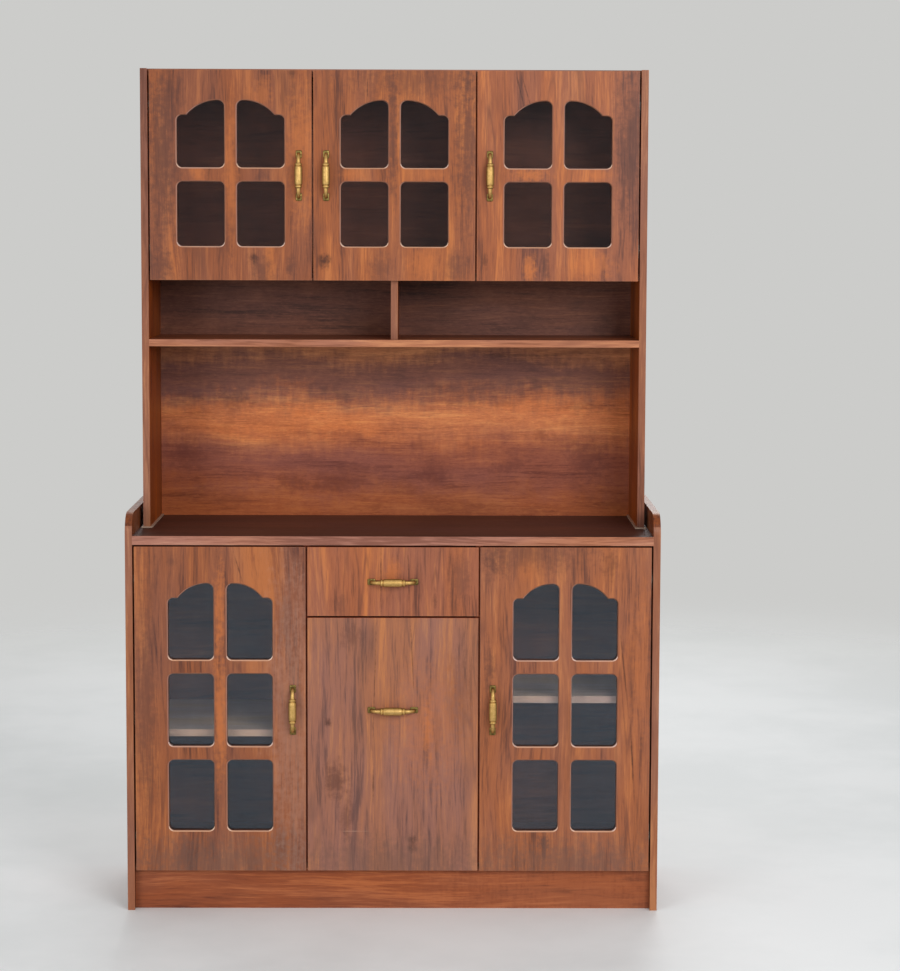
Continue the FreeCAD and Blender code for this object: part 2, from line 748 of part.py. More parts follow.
def glazed_door(label, width, height, stile, muntin, rows, facing, carrier, x, y, z):
    """A door with its panes, glass, clips, cups and pull; facing 1 has its hinges on the left."""
    half_wide = width / 2
    half_high = height / 2
    near = muntin / 2
    far = half_wide - stile
    body = new_body(f"{label}_panel")
    blank = plane_sketch(body, "XZ_Plane")
    rectangle(blank, (-half_wide, half_wide), (-half_high, half_high))
    extrude(body, "Pad", blank, front_board, reverse=True)
    glass_low = rows[-1][0] - glass_lap
    glass_high = rows[0][1] + glass_lap
    glass_side = far + glass_lap
    rebate = plane_sketch(body, "XZ_Plane", -front_board)
    rectangle(rebate, (-glass_side, glass_side), (glass_low, glass_high))
    extrude(body, "Pocket", rebate, rebate_depth, reverse=True)
    panes = plane_sketch(body, "XZ_Plane")
    for index, (low, high) in enumerate(rows):
        shape_pane = arched_pane if index == 0 else square_pane
        for side in (-1, 1):
            shape_pane(panes, side, near, far, low, high)
    extrude(body, "Pocket", panes)
    round_panes(body, far)
    bores = plane_sketch(body, "XZ_Plane", -front_board)
    cup_x = (half_wide + front_gap - cup_centre) * -facing
    hinge_levels = (half_high - hinge_inset, hinge_inset - half_high)
    for level in hinge_levels:
        circle(bores, cup_x, level, cup_radius + cup_play)
    extrude(body, "Pocket", bores, cup_depth, reverse=True)
    screw_holes = plane_sketch(body, "XZ_Plane")
    pull_x = (half_wide - pull_edge) * facing
    for side in (-1, 1):
        circle(screw_holes, pull_x, pull_hole_spacing / 2 * side, screw_radius + screw_play)
    extrude(body, "Pocket", screw_holes)
    set_place(body, x, y, z)
    nodes.append(body)

    glass_back = y + front_board - rebate_depth
    nodes.append(board_between(
        f"{label}_glass",
        (x - glass_side + glass_play, x + glass_side - glass_play),
        (glass_back, glass_back + glass_thickness),
        (z + glass_low + glass_play, z + glass_high - glass_play)))

    clips = []
    middle = (glass_low + glass_high) / 2
    quarter = (glass_high - glass_low) / 4
    column = (near + far) / 2
    spots = []
    for across in (-column, column):
        spots.append((across, glass_high, 90))
        spots.append((across, glass_low, -90))
    for level in (middle - quarter, middle + quarter):
        spots.append((-glass_side, level, 0))
        spots.append((glass_side, level, 180))
    for spot_x, spot_z, angle in spots:
        piece = clip.Shape.copy()
        piece.Placement = FreeCAD.Placement(
            V((x + spot_x).number, y.number, (z + spot_z).number), FreeCAD.Rotation(V(0, 1, 0), angle))
        clips.append(piece)
    nodes.append(group(f"{label}_glass_clips", clips))

    board_x = x - (half_wide + front_gap) * facing
    cups = []
    for level in hinge_levels:
        cups.append(hinge_shape(cup.Shape, facing, board_x, y, z + level))
        cups.append(hinge_shape(hinge_pin, facing, board_x, y, z + level))
        hinge_arm_shapes.append(hinge_shape(arms[carrier].Shape, facing, board_x, y, z + level))
        hinge_plate_shapes.append(hinge_shape(plates[carrier].Shape, facing, board_x, y, z + level))
    nodes.append(group(f"{label}_hinge_cups", cups))
    pull_node(f"{label}_pull", x + pull_x, y, z, False)


hutch_top_edge = hutch_door_height / 2
hutch_upper_low = hutch_top_edge - hutch_top_rail - hutch_upper_pane
hutch_rows = [
    (hutch_upper_low, hutch_top_edge - hutch_top_rail),
    (hutch_bottom_rail - hutch_top_edge, hutch_upper_low - hutch_cross_bar),
]
base_top_edge = base_door_height / 2
base_upper_low = base_top_edge - base_top_rail - base_upper_pane
base_middle_low = base_upper_low - base_cross_bar - base_middle_pane
base_rows = [
    (base_upper_low, base_top_edge - base_top_rail),
    (base_middle_low, base_upper_low - base_cross_bar),
    (base_bottom_rail - base_top_edge, base_middle_low - base_cross_bar),
]
hutch_pitch = hutch_front_width + front_gap
base_pitch = base_front_width + front_gap
hutch_door_middle = hutch_door_low + hutch_door_height / 2
for label, facing, carrier, x in (
    ("hutch_left_door", 1, "side", -hutch_pitch),
    ("hutch_middle_door", -1, "partition", zero),
    ("hutch_right_door", -1, "side", hutch_pitch),
):
    glazed_door(label, hutch_front_width, hutch_door_height, hutch_stile, hutch_muntin, hutch_rows,
                facing, carrier, x, hutch_front, hutch_door_middle)
for label, facing, x in (("base_left_door", 1, -base_pitch), ("base_right_door", -1, base_pitch)):
    glazed_door(label, base_front_width, base_door_height, base_stile, base_muntin, base_rows,
                facing, "side", x, front, pull_height)
nodes.append(group("hinge_arms", hinge_arm_shapes))
nodes.append(group("hinge_plates", hinge_plate_shapes))


# Runner: a folded channel; mouth 1 opens to +X, -1 to -X, and its web lies on the plane at x
def channel(label, x, mouth, depth, height, start, length, middle):
    body = new_body(label)
    sketch = plane_sketch(body, "XZ_Plane", -start)
    lip = x + depth * mouth
    web = x + runner_sheet * mouth
    high = middle + height / 2
    low = middle - height / 2
    outline(sketch, [
        (x, low),
        (lip, low),
        (lip, low + runner_sheet),
        (web, low + runner_sheet),
        (web, high - runner_sheet),
        (lip, high - runner_sheet),
        (lip, high),
        (x, high),
    ])
    extrude(body, "Pad", sketch, length, reverse=True)
    return body


def join(label, parts):
    thing = doc.addObject("Part::Compound", label)
    thing.Label = label
    thing.Links = parts
    nodes.append(thing)


cabinet_runners = []


def drawer(label, front_low, front_high, lift, side_height, runner_lift, pull_z):
    """A front on a box of thin boards, carried by a runner on each side."""
    body = new_body(f"{label}_front")
    height = front_high - front_low
    pull_drop = pull_z - front_low - height / 2
    blank = plane_sketch(body, "XZ_Plane")
    rectangle(blank, (-base_front_width / 2, base_front_width / 2), (-height / 2, height / 2))
    extrude(body, "Pad", blank, front_board, reverse=True)
    screw_holes = plane_sketch(body, "XZ_Plane")
    for side in (-1, 1):
        circle(screw_holes, pull_hole_spacing / 2 * side, pull_drop, screw_radius + screw_play)
    extrude(body, "Pocket", screw_holes)
    set_place(body, zero, front, front_low + height / 2)
    nodes.append(body)

    box_out = partition_inside - runner_space
    box_in = box_out - drawer_board
    box_front = front + front_board
    box_rear = box_front + drawer_length
    box_low = front_low + lift
    box_z = (box_low, box_low + side_height)
    left = board_between(f"{label} left side", (-box_out, -box_in), (box_front, box_rear), box_z)
    right = board_between(f"{label} right side", (box_in, box_out), (box_front, box_rear), box_z)
    join(f"{label}_sides", [left, right])
    nodes.append(board_between(f"{label}_back", (-box_in, box_in), (box_rear - drawer_board, box_rear), box_z))
    nodes.append(board_between(f"{label}_bottom", (-box_out, box_out), (box_front, box_rear),
                               (box_low - drawer_bottom_board, box_low)))
    runner_z = box_low + runner_lift
    inner_height = runner_height - runner_sheet * 2 - runner_play * 2
    depth = runner_space - runner_sheet - runner_play
    inner = []
    for name, side in (("left", -1), ("right", 1)):
        inner.append(channel(f"{label} {name} runner", box_out * side, side, depth, inner_height,
                             box_front + rear_gap, drawer_length - rear_gap, runner_z))
        cabinet_runners.append(channel(f"{label} {name} cabinet runner", partition_inside * side, -side, depth,
                                       runner_height, inner_front, runner_length, runner_z))
    join(f"{label}_runners", inner)
    pull_node(f"{label}_pull", zero, front, pull_z, True)


drawer_low = base_fronts_top - drawer_front_height
drawer("drawer", drawer_low, base_fronts_top, drawer_lift, drawer_side_height, drawer_side_height / 2,
       drawer_low + drawer_front_height / 2)
drawer("pullout", base_fronts_low, drawer_low - front_gap, pullout_lift, pullout_side_height,
       pullout_runner_lift, pull_height)
join("cabinet_runners", cabinet_runners)
doc.recompute()

for thing in doc.Objects:
    if "Invalid" in thing.State or "Error" in thing.State:
        raise RuntimeError(f"{thing.Label} failed: {thing.State}")
for node in nodes:
    if node.Shape.isNull() or not node.Shape.isValid():
        raise RuntimeError(f"{node.Label} has no valid shape")
os.makedirs("parts", exist_ok=True)
for node in nodes:
    node.Shape.exportStep(f"parts/{node.Label}.step")
print(len(nodes), "sub-parts written")
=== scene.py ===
import bmesh
import bpy
import math
from mathutils import Matrix, Vector


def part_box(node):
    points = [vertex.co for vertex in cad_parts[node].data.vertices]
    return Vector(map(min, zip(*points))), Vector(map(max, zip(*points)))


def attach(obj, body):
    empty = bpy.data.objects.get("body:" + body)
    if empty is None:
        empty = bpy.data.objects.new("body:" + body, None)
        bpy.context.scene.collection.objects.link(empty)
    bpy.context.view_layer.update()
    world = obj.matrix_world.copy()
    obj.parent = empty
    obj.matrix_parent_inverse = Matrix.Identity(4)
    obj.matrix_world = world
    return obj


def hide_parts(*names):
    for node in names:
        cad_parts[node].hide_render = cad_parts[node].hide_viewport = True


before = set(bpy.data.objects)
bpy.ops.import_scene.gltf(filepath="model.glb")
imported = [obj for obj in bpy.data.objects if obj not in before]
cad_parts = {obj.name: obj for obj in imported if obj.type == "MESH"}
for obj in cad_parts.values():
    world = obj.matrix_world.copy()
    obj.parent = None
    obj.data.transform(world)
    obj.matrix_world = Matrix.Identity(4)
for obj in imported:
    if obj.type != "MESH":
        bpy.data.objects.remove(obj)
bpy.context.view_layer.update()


# The base's two sides are chipboard faced with a printed rosewood laminate, banded at the front and the top.
# They stand on the floor, rise past the worktop as ears, and are joined to the other boards by dowels.
def colour(code):
    """A colour as it looks on a screen, turned into the light values that the shaders take."""
    values = [int(code[place:place + 2], 16) / 255 for place in (1, 3, 5)]
    light = [value / 12.92 if value <= 0.04045 else ((value + 0.055) / 1.055) ** 2.4 for value in values]
    return (*light, 1.0)


def add(tree, kind, **settings):
    node = tree.nodes.new(f"ShaderNode{kind}")
    for name, value in settings.items():
        setattr(node, name, value)
    return node


def feed(tree, socket, source):
    """Link a socket to its source, or set it to a plain value."""
    if isinstance(source, bpy.types.NodeSocket):
        tree.links.new(source, socket)
    else:
        socket.default_value = source


def feed_all(tree, node, *sources):
    """Feed a node's sockets in their order, and hand back its outputs."""
    for socket, source in zip(node.inputs, sources):
        feed(tree, socket, source)
    return node.outputs


def calc(tree, work, *values):
    return feed_all(tree, add(tree, "Math", operation=work), *values)[0]


def vector_calc(tree, work, *values):
    return feed_all(tree, add(tree, "VectorMath", operation=work), *values)[0]


def parts(tree, vector):
    """The x, y and z of a vector."""
    return feed_all(tree, add(tree, "SeparateXYZ"), vector)


def mix(tree, share, first, second, kind="MIX"):
    """Blend two colours by a share from 0 to 1, on the sockets that the node keeps for colours."""
    node = add(tree, "Mix", data_type="RGBA", blend_type=kind)
    for number, source in ((0, share), (6, first), (7, second)):
        feed(tree, node.inputs[number], source)
    return node.outputs[2]


def noise(tree, place, scale, detail=2.0, roughness=0.5, stretch=None):
    """Cloudy values about a half; where stretch is small for x, y or z, the clouds are drawn out that way."""
    if stretch:
        place = vector_calc(tree, "MULTIPLY", place, stretch)
    node = add(tree, "TexNoise")
    feed(tree, node.inputs["Vector"], place)
    node.inputs["Scale"].default_value = scale
    node.inputs["Detail"].default_value = detail
    node.inputs["Roughness"].default_value = roughness
    return node.outputs[0]


def swing(tree, cloud, reach, start):
    """Push a value to and fro by a cloud: up where the cloud is over a half, down where it is under."""
    return calc(tree, "MULTIPLY_ADD", calc(tree, "SUBTRACT", cloud, 0.5), reach, start)


def ramp(tree, value, low, high, start=0.0, end=1.0):
    """Go smoothly from start to end while the value goes from low to high."""
    node = add(tree, "MapRange", interpolation_type="SMOOTHSTEP")
    return feed_all(tree, node, value, low, high, start, end)[0]


def new_group(name, inputs, outputs):
    """An empty shader group with its named sockets: what it is given, and what it makes."""
    group = bpy.data.node_groups.new(name, "ShaderNodeTree")
    for way, sockets in (("INPUT", inputs), ("OUTPUT", outputs)):
        for label, kind in sockets.items():
            group.interface.new_socket(label, in_out=way, socket_type=f"NodeSocket{kind}")
    given = group.nodes.new("NodeGroupInput").outputs
    made = group.nodes.new("NodeGroupOutput").inputs
    return group, given, made


BAND_SHARE = 0.43
STREAK_SHARE = 0.25
FIBRE_SHARE = 0.32
COOL_CAST = (0.92, 0.97, 1.12, 1.0)
WARM_CAST = (1.07, 1.01, 0.84, 1.0)
LINE_WIDTH = 0.022
LINE_STRENGTH = 0.45
KNOT_STRENGTH = 0.5
PORE_STRENGTH = 0.3


def rosewood_print():
    """The laminate's printed figure: broad bands, streaks, thin dark lines, clouded knots and short pores."""
    group, given, made = new_group(
        "rosewood_print",
        {"Place": "Vector", "Seed": "Float", "Dark": "Color", "Middle": "Color", "Light": "Color",
         "Figure": "Float", "Satin": "Float"},
        {"Colour": "Color", "Roughness": "Float", "Pores": "Float"})
    far_apart = vector_calc(group, "MULTIPLY", (1.7, 3.1, 2.3), given["Seed"])
    place = vector_calc(group, "ADD", given["Place"], far_apart)
    sway = noise(group, place, 5.0, stretch=(1, 1, 0.3))
    shift = feed_all(group, add(group, "CombineXYZ"), swing(group, sway, 0.055, 0.0))
    place = vector_calc(group, "ADD", place, shift[0])
    band = noise(group, place, 16.0, 3.0, 0.6, (1, 1, 0.1))
    streak = noise(group, place, 75.0, 3.0, 0.6, (1, 1, 0.05))
    fibre = noise(group, place, 260.0, 3.0, 0.65, (1, 1, 0.055))
    tone = calc(group, "MULTIPLY_ADD", band, BAND_SHARE, calc(group, "MULTIPLY", streak, STREAK_SHARE))
    tone = calc(group, "MULTIPLY_ADD", fibre, FIBRE_SHARE, tone)
    tone = swing(group, tone, given["Figure"], 0.5)
    look = mix(group, ramp(group, tone, 0.38, 0.5), given["Dark"], given["Middle"])
    look = mix(group, ramp(group, tone, 0.5, 0.61), look, given["Light"])
    warmth = noise(group, place, 12.0, 3.0, stretch=(1, 1, 0.18))
    cast = mix(group, ramp(group, warmth, 0.36, 0.64), COOL_CAST, WARM_CAST)
    look = mix(group, given["Figure"], look, mix(group, 1.0, look, cast, "MULTIPLY"))
    contour = noise(group, place, 21.0, stretch=(1, 1, 0.07))
    off_line = calc(group, "ABSOLUTE", calc(group, "SUBTRACT", contour, 0.5))
    line = ramp(group, off_line, 0.0, LINE_WIDTH, 1.0, 0.0)
    broken = noise(group, place, 8.0, stretch=(1, 1, 0.25))
    line = calc(group, "MULTIPLY", line, ramp(group, broken, 0.46, 0.6, 0.0, LINE_STRENGTH))
    look = mix(group, calc(group, "MULTIPLY", line, given["Figure"]), look, given["Dark"])
    knot = ramp(group, noise(group, place, 11.0, 3.0, 0.55, (1, 1, 0.4)), 0.56, 0.78, 0.0, KNOT_STRENGTH)
    look = mix(group, calc(group, "MULTIPLY", knot, given["Figure"]), look, given["Dark"])
    pores = ramp(group, noise(group, place, 700.0, stretch=(1, 1, 0.05)), 0.56, 0.74)
    look = mix(group, calc(group, "MULTIPLY", pores, PORE_STRENGTH), look, given["Dark"])
    feed(group, made["Colour"], look)
    dull = calc(group, "MULTIPLY_ADD", pores, 0.12, given["Satin"])
    feed(group, made["Roughness"], calc(group, "MULTIPLY_ADD", streak, 0.1, dull))
    feed(group, made["Pores"], pores)
    return group


def print_mark():
    """One knot, smudge or streak of the print: its mask fades out from the centre with a ragged edge."""
    group, given, made = new_group(
        "print_mark",
        {"Place": "Vector", "Centre": "Vector", "Width": "Float", "Length": "Float", "Lean": "Float"},
        {"Mask": "Float"})
    away = parts(group, vector_calc(group, "SUBTRACT", given["Place"], given["Centre"]))
    slant = calc(group, "MULTIPLY", away[2], given["Lean"])
    wide = calc(group, "DIVIDE", calc(group, "SUBTRACT", away[0], slant), given["Width"])
    long = calc(group, "DIVIDE", away[2], given["Length"])
    reach = calc(group, "MULTIPLY_ADD", wide, wide, calc(group, "MULTIPLY", long, long))
    reach = calc(group, "SQRT", reach)
    ragged = noise(group, given["Place"], 120.0, 3.0, 0.6, (1, 1, 0.1))
    reach = swing(group, ragged, 1.4, reach)
    blot = noise(group, given["Place"], 75.0, 4.0, 0.65)
    reach = swing(group, blot, 2.2, reach)
    feed(group, made["Mask"], ramp(group, reach, 0.0, 1.25, 1.0, 0.0))
    return group


def edge_rub():
    """A thin broken line along a front's outer edges, where hands and cloths have rubbed the print paler."""
    group, given, made = new_group(
        "edge_rub",
        {"Place": "Vector", "Low": "Vector", "High": "Vector", "Width": "Float"},
        {"Mask": "Float"})
    gaps = []
    for far, near in (("Place", "Low"), ("High", "Place")):
        gap = parts(group, vector_calc(group, "SUBTRACT", given[far], given[near]))
        gaps.append(calc(group, "MINIMUM", gap[0], gap[2]))
    nearest = calc(group, "DIVIDE", calc(group, "MINIMUM", *gaps), given["Width"])
    broken = noise(group, given["Place"], 90.0, 4.0, 0.65)
    nearest = calc(group, "MULTIPLY_ADD", calc(group, "SUBTRACT", 0.55, broken), 3.0, nearest)
    feed(group, made["Mask"], ramp(group, nearest, 0.0, 1.0, 1.0, 0.0))
    return group


print_group = rosewood_print()
mark_group = print_mark()
rub_group = edge_rub()


def new_material(name):
    """A material with an empty tree, its Principled shader and the place on the piece in metres."""
    material = bpy.data.materials.new(name)
    material.use_nodes = True
    tree = material.node_tree
    tree.nodes.clear()
    shader = add(tree, "BsdfPrincipled")
    feed(tree, add(tree, "OutputMaterial").inputs["Surface"], shader.outputs[0])
    return material, tree, shader, add(tree, "TexCoord").outputs["Object"]


def place_group(tree, group, *values):
    """Put a shared effect into a material with the material's own values, and hand back its outputs."""
    return feed_all(tree, add(tree, "Group", node_tree=group), *values)


def raise_bumps(tree, shader, height, depth, strength):
    bump = add(tree, "Bump")
    bump.inputs["Distance"].default_value = depth
    bump.inputs["Strength"].default_value = strength
    feed(tree, bump.inputs["Height"], height)
    feed(tree, shader.inputs["Normal"], bump.outputs[0])


GRAIN_TURN = {"x": (0, math.pi / 2, 0), "y": (math.pi / 2, 0, 0), "z": (0, 0, 0)}
PRINT_SHEEN = 0.25
PORE_DEPTH = 0.00008
RUB_WIDTH = 0.002
RUB_STRENGTH = 0.14
RUB_SHADE = "#B98A6C"


def along_grain(tree, place, grain):
    """The place on a piece, turned so that its grain runs along z."""
    turn = add(tree, "Mapping")
    turn.inputs["Rotation"].default_value = GRAIN_TURN[grain]
    feed(tree, turn.inputs["Vector"], place)
    return turn.outputs[0]


def dress_print(tree, shader, look, figured):
    """Give a printed face its colour, its low sheen and the pores pressed into it."""
    feed(tree, shader.inputs["Base Color"], look)
    feed(tree, shader.inputs["Roughness"], figured["Roughness"])
    shader.inputs["Specular IOR Level"].default_value = PRINT_SHEEN
    raise_bumps(tree, shader, figured["Pores"], -PORE_DEPTH, 0.5)


def laminate(name, grain, dark, middle, light, seed, figure=1.0, satin=0.36, marks=(), rubbed=None):
    """A laminated face with its grain along x, y or z, and rubbed edges where a board is named for them.

    A mark of its own gives its shade, strength, x, z, width, length and lean.
    """
    material, tree, shader, place = new_material(name)
    tones = (colour(dark), colour(middle), colour(light))
    figured = place_group(tree, print_group, along_grain(tree, place, grain), seed, *tones, figure, satin)
    look = figured["Colour"]
    for shade, strength, x, z, width, length, lean in marks:
        mask = place_group(tree, mark_group, place, (x, 0, z), width, length, lean)[0]
        look = mix(tree, calc(tree, "MULTIPLY", mask, strength), look, colour(shade))
    if rubbed:
        mask = place_group(tree, rub_group, place, *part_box(rubbed), RUB_WIDTH)[0]
        look = mix(tree, calc(tree, "MULTIPLY", mask, RUB_STRENGTH), look, colour(RUB_SHADE))
    dress_print(tree, shader, look, figured)
    return material


FRONT = Vector((0, -1, 0))
REAR = Vector((0, 1, 0))
UP = Vector((0, 0, 1))
OUTWARD = {"left": Vector((-1, 0, 0)), "right": Vector((1, 0, 0))}
FACING = 0.9
EASED = 0.0007
JOIN_REACH = 0.00001
SHARP_ANGLE = math.radians(50)


def finish(node, face, *edges):
    """Give a CAD board its face finish, and each edge that looks in a given direction its own."""
    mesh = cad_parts[node].data
    mesh.materials.clear()
    mesh.materials.append(face)
    for _, edge in edges:
        mesh.materials.append(edge)
    for polygon in mesh.polygons:
        polygon.material_index = 0
        for index, (direction, _) in enumerate(edges):
            if polygon.normal.dot(direction) > FACING:
                polygon.material_index = index + 1


def ease_edges(node, width=EASED):
    """Take the sharpness off a board's corners, as banding and handling do."""
    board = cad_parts[node]
    weld = board.modifiers.new("joined corners", "WELD")
    weld.merge_threshold = JOIN_REACH
    bevel = board.modifiers.new("eased edges", "BEVEL")
    bevel.width = width
    bevel.segments = 2
    bevel.limit_method = "ANGLE"
    bevel.angle_limit = SHARP_ANGLE
    board.modifiers.new("flat faces", "WEIGHTED_NORMAL")


SIDE_EASED = 0.001
side_laminate = laminate("side_laminate", "z", "#5A3226", "#8C4F32", "#A5623A", 3.0)
inner_upright = laminate("inner_laminate_upright", "z", "#4A2418", "#7A4022", "#945228", 12.0)
upright_banding = laminate("upright_banding", "z", "#7C4A36", "#935C42", "#A9704F", 5.0, 1.0, 0.33)
for side, outward in OUTWARD.items():
    banded = ((FRONT, upright_banding), (UP, upright_banding))
    finish(f"base_{side}_side", inner_upright, (outward, side_laminate), *banded)
    ease_edges(f"base_{side}_side", SIDE_EASED)


# The plinth, floor and two partitions of the base are the same laminated board, cut to length and doweled up.
# The plinth is set back under the doors, its grain lies across, and its print is brighter at the right.
# The partitions' front edges show only in the gaps between the fronts; their banding is made a brighter red,
# painted light that lifts those dark gaps to red-brown.
PLINTH_MARKS = (("#C07044", 0.25, 0.42, 0.04, 0.34, 0.16, 0.0),)
PLINTH_TONES = ("#5E2C1C", "#8A482A", "#A8603A")
plinth_laminate = laminate("plinth_laminate", "x", *PLINTH_TONES, 8.0, 0.85, marks=PLINTH_MARKS)
inner_across = laminate("inner_laminate_across", "x", "#4A2418", "#7A4022", "#945228", 11.0)
across_banding = laminate("across_banding", "x", "#84503A", "#A86D54", "#C08464", 6.0, 1.2, 0.33)
gap_banding_painted_light = laminate("gap_banding_painted_light", "z", "#8E4028", "#BC5A3A", "#CA6C48", 7.0)
finish("plinth", plinth_laminate)
finish("base_bottom", inner_across, (FRONT, across_banding))
finish("base_left_partition", inner_upright, (FRONT, gap_banding_painted_light))
finish("base_right_partition", inner_upright, (FRONT, gap_banding_painted_light))
for node in ("plinth", "base_bottom", "base_left_partition", "base_right_partition"):
    ease_edges(node)


# The base's back is a sheet of brown hardboard let in behind the boards, printed on its inner side.
# Two loose shelves with a pale laminate lie on pins, one higher than the other; their faces are made paler
# still, painted light for the light that falls in through the panes.
SCREEN_SCALE = 420.0
SCREEN_DEPTH = 0.0002


def hardboard():
    """Pressed wood fibre: short pale and dark fibres lying every way, and a fine screen pressed into it."""
    material, tree, shader, place = new_material("hardboard_back")
    fibre = noise(tree, place, 620.0, 3.0, 0.6, (1, 1, 0.35))
    cloud = noise(tree, place, 7.0, 4.0, 0.6)
    fleck = noise(tree, place, 85.0, 4.0, 0.7)
    look = mix(tree, ramp(tree, fibre, 0.34, 0.68), colour("#6B4A30"), colour("#93704C"))
    look = mix(tree, ramp(tree, cloud, 0.4, 0.68, 0.0, 0.5), look, colour("#634429"))
    look = mix(tree, ramp(tree, fleck, 0.55, 0.75, 0.0, 0.5), look, colour("#A5835C"))
    look = mix(tree, ramp(tree, fleck, 0.42, 0.26, 0.0, 0.55), look, colour("#573B25"))
    feed(tree, shader.inputs["Base Color"], look)
    feed(tree, shader.inputs["Roughness"], ramp(tree, fibre, 0.2, 0.8, 0.85, 0.65))
    screen = add(tree, "TexVoronoi")
    screen.inputs["Scale"].default_value = SCREEN_SCALE
    feed(tree, screen.inputs["Vector"], place)
    raise_bumps(tree, shader, screen.outputs["Distance"], SCREEN_DEPTH, 0.5)
    return material


raw_hardboard = hardboard()
finish("base_back", inner_across, (REAR, raw_hardboard))
# The shelf faces are paler than the real laminate: painted light for what falls in through the glass.
shelf_face_painted_light = laminate("base_shelf_laminate", "x", "#BE967C", "#E2BDA2", "#EECDB6", 13.0, 0.8)
pale_banding = laminate("pale_banding", "x", "#CB9C84", "#DEAF96", "#E8BDA4", 10.0, 0.5, 0.35)
finish("base_shelves", shelf_face_painted_light, (FRONT, pale_banding))
ease_edges("base_shelves")


# The worktop is a thicker board with a dark laminate on top and a banded front edge.
# It sits between the base's sides, flush with their front.
WORKTOP_EASED = 0.0012
worktop_laminate = laminate("worktop_laminate", "x", "#331A15", "#4C2A22", "#5E362B", 14.0, 0.8, 0.42)
worktop_banding = laminate("worktop_banding", "x", "#885440", "#AC725A", "#C28A6C", 15.0, 1.2, 0.33)
finish("worktop", inner_across, (FRONT, worktop_banding), (UP, worktop_laminate))
ease_edges("worktop", WORKTOP_EASED)


# The hutch's sides stand on thin pale strips of plastic on the worktop.
# Its top, cupboard floor, partition, open shelf and divider are laminated boards doweled between them.
hutch_banding = laminate("hutch_banding", "z", "#6E4232", "#8C5843", "#A67054", 7.0, 1.0, 0.33)
hutch_inner = laminate("hutch_inner_laminate", "z", "#5C2406", "#8C400C", "#A45212", 16.0)
shelf_laminate = laminate("shelf_laminate", "x", "#5A2E20", "#8A4E34", "#A05F3E", 18.0)
for side, outward in OUTWARD.items():
    finish(f"hutch_{side}_side", hutch_inner, (outward, side_laminate), (FRONT, hutch_banding))
for node in ("hutch_top", "hutch_cupboard_floor", "hutch_open_shelf"):
    finish(node, shelf_laminate, (FRONT, across_banding))
# The partition's front edge takes the brighter red banding, painted light in the gap between the doors.
finish("hutch_partition", hutch_inner, (FRONT, gap_banding_painted_light))
finish("hutch_shelf_divider", hutch_inner, (FRONT, upright_banding))
for name in ("left_side", "right_side", "top", "cupboard_floor", "open_shelf", "partition", "shelf_divider"):
    ease_edges(f"hutch_{name}")


def moulded_plastic(name, shade, deep, gloss):
    """A plain moulded plastic with a faint cloud in its colour and a fine texture."""
    material, tree, shader, place = new_material(name)
    cloud = noise(tree, place, 60.0, 3.0)
    look = mix(tree, ramp(tree, cloud, 0.35, 0.65), colour(deep), colour(shade))
    feed(tree, shader.inputs["Base Color"], look)
    feed(tree, shader.inputs["Roughness"], ramp(tree, cloud, 0.3, 0.7, gloss, gloss + 0.12))
    raise_bumps(tree, shader, noise(tree, place, 1500.0), 0.00005, 0.4)
    return material


pale_strip = moulded_plastic("pale_strip", "#B9A08C", "#A98F7C", 0.4)
finish("hutch_foot_strips", pale_strip)


# The hutch's back is one tall hardboard sheet with its print on the front, the grain lying across.
# Down from the open shelf, the print goes from purple-brown through a bright orange band to red-brown. Right
# under the shelf a lighter band is painted light against the shelf's shadow, and above the shelf, in the
# niche, the back is darker as painted shade.
# A knot gives its x, z, width and height.
BACK_KNOTS = ((0.095, 0.955, 0.045, 0.032), (-0.145, 0.93, 0.07, 0.03), (0.265, 0.972, 0.05, 0.02),
              (0.345, 1.050, 0.03, 0.016), (-0.245, 0.935, 0.05, 0.024), (0.46, 0.99, 0.06, 0.06),
              (-0.50, 1.0, 0.06, 0.05), (-0.38, 1.13, 0.06, 0.03))
BACK_KNOT_STRENGTH = 0.6


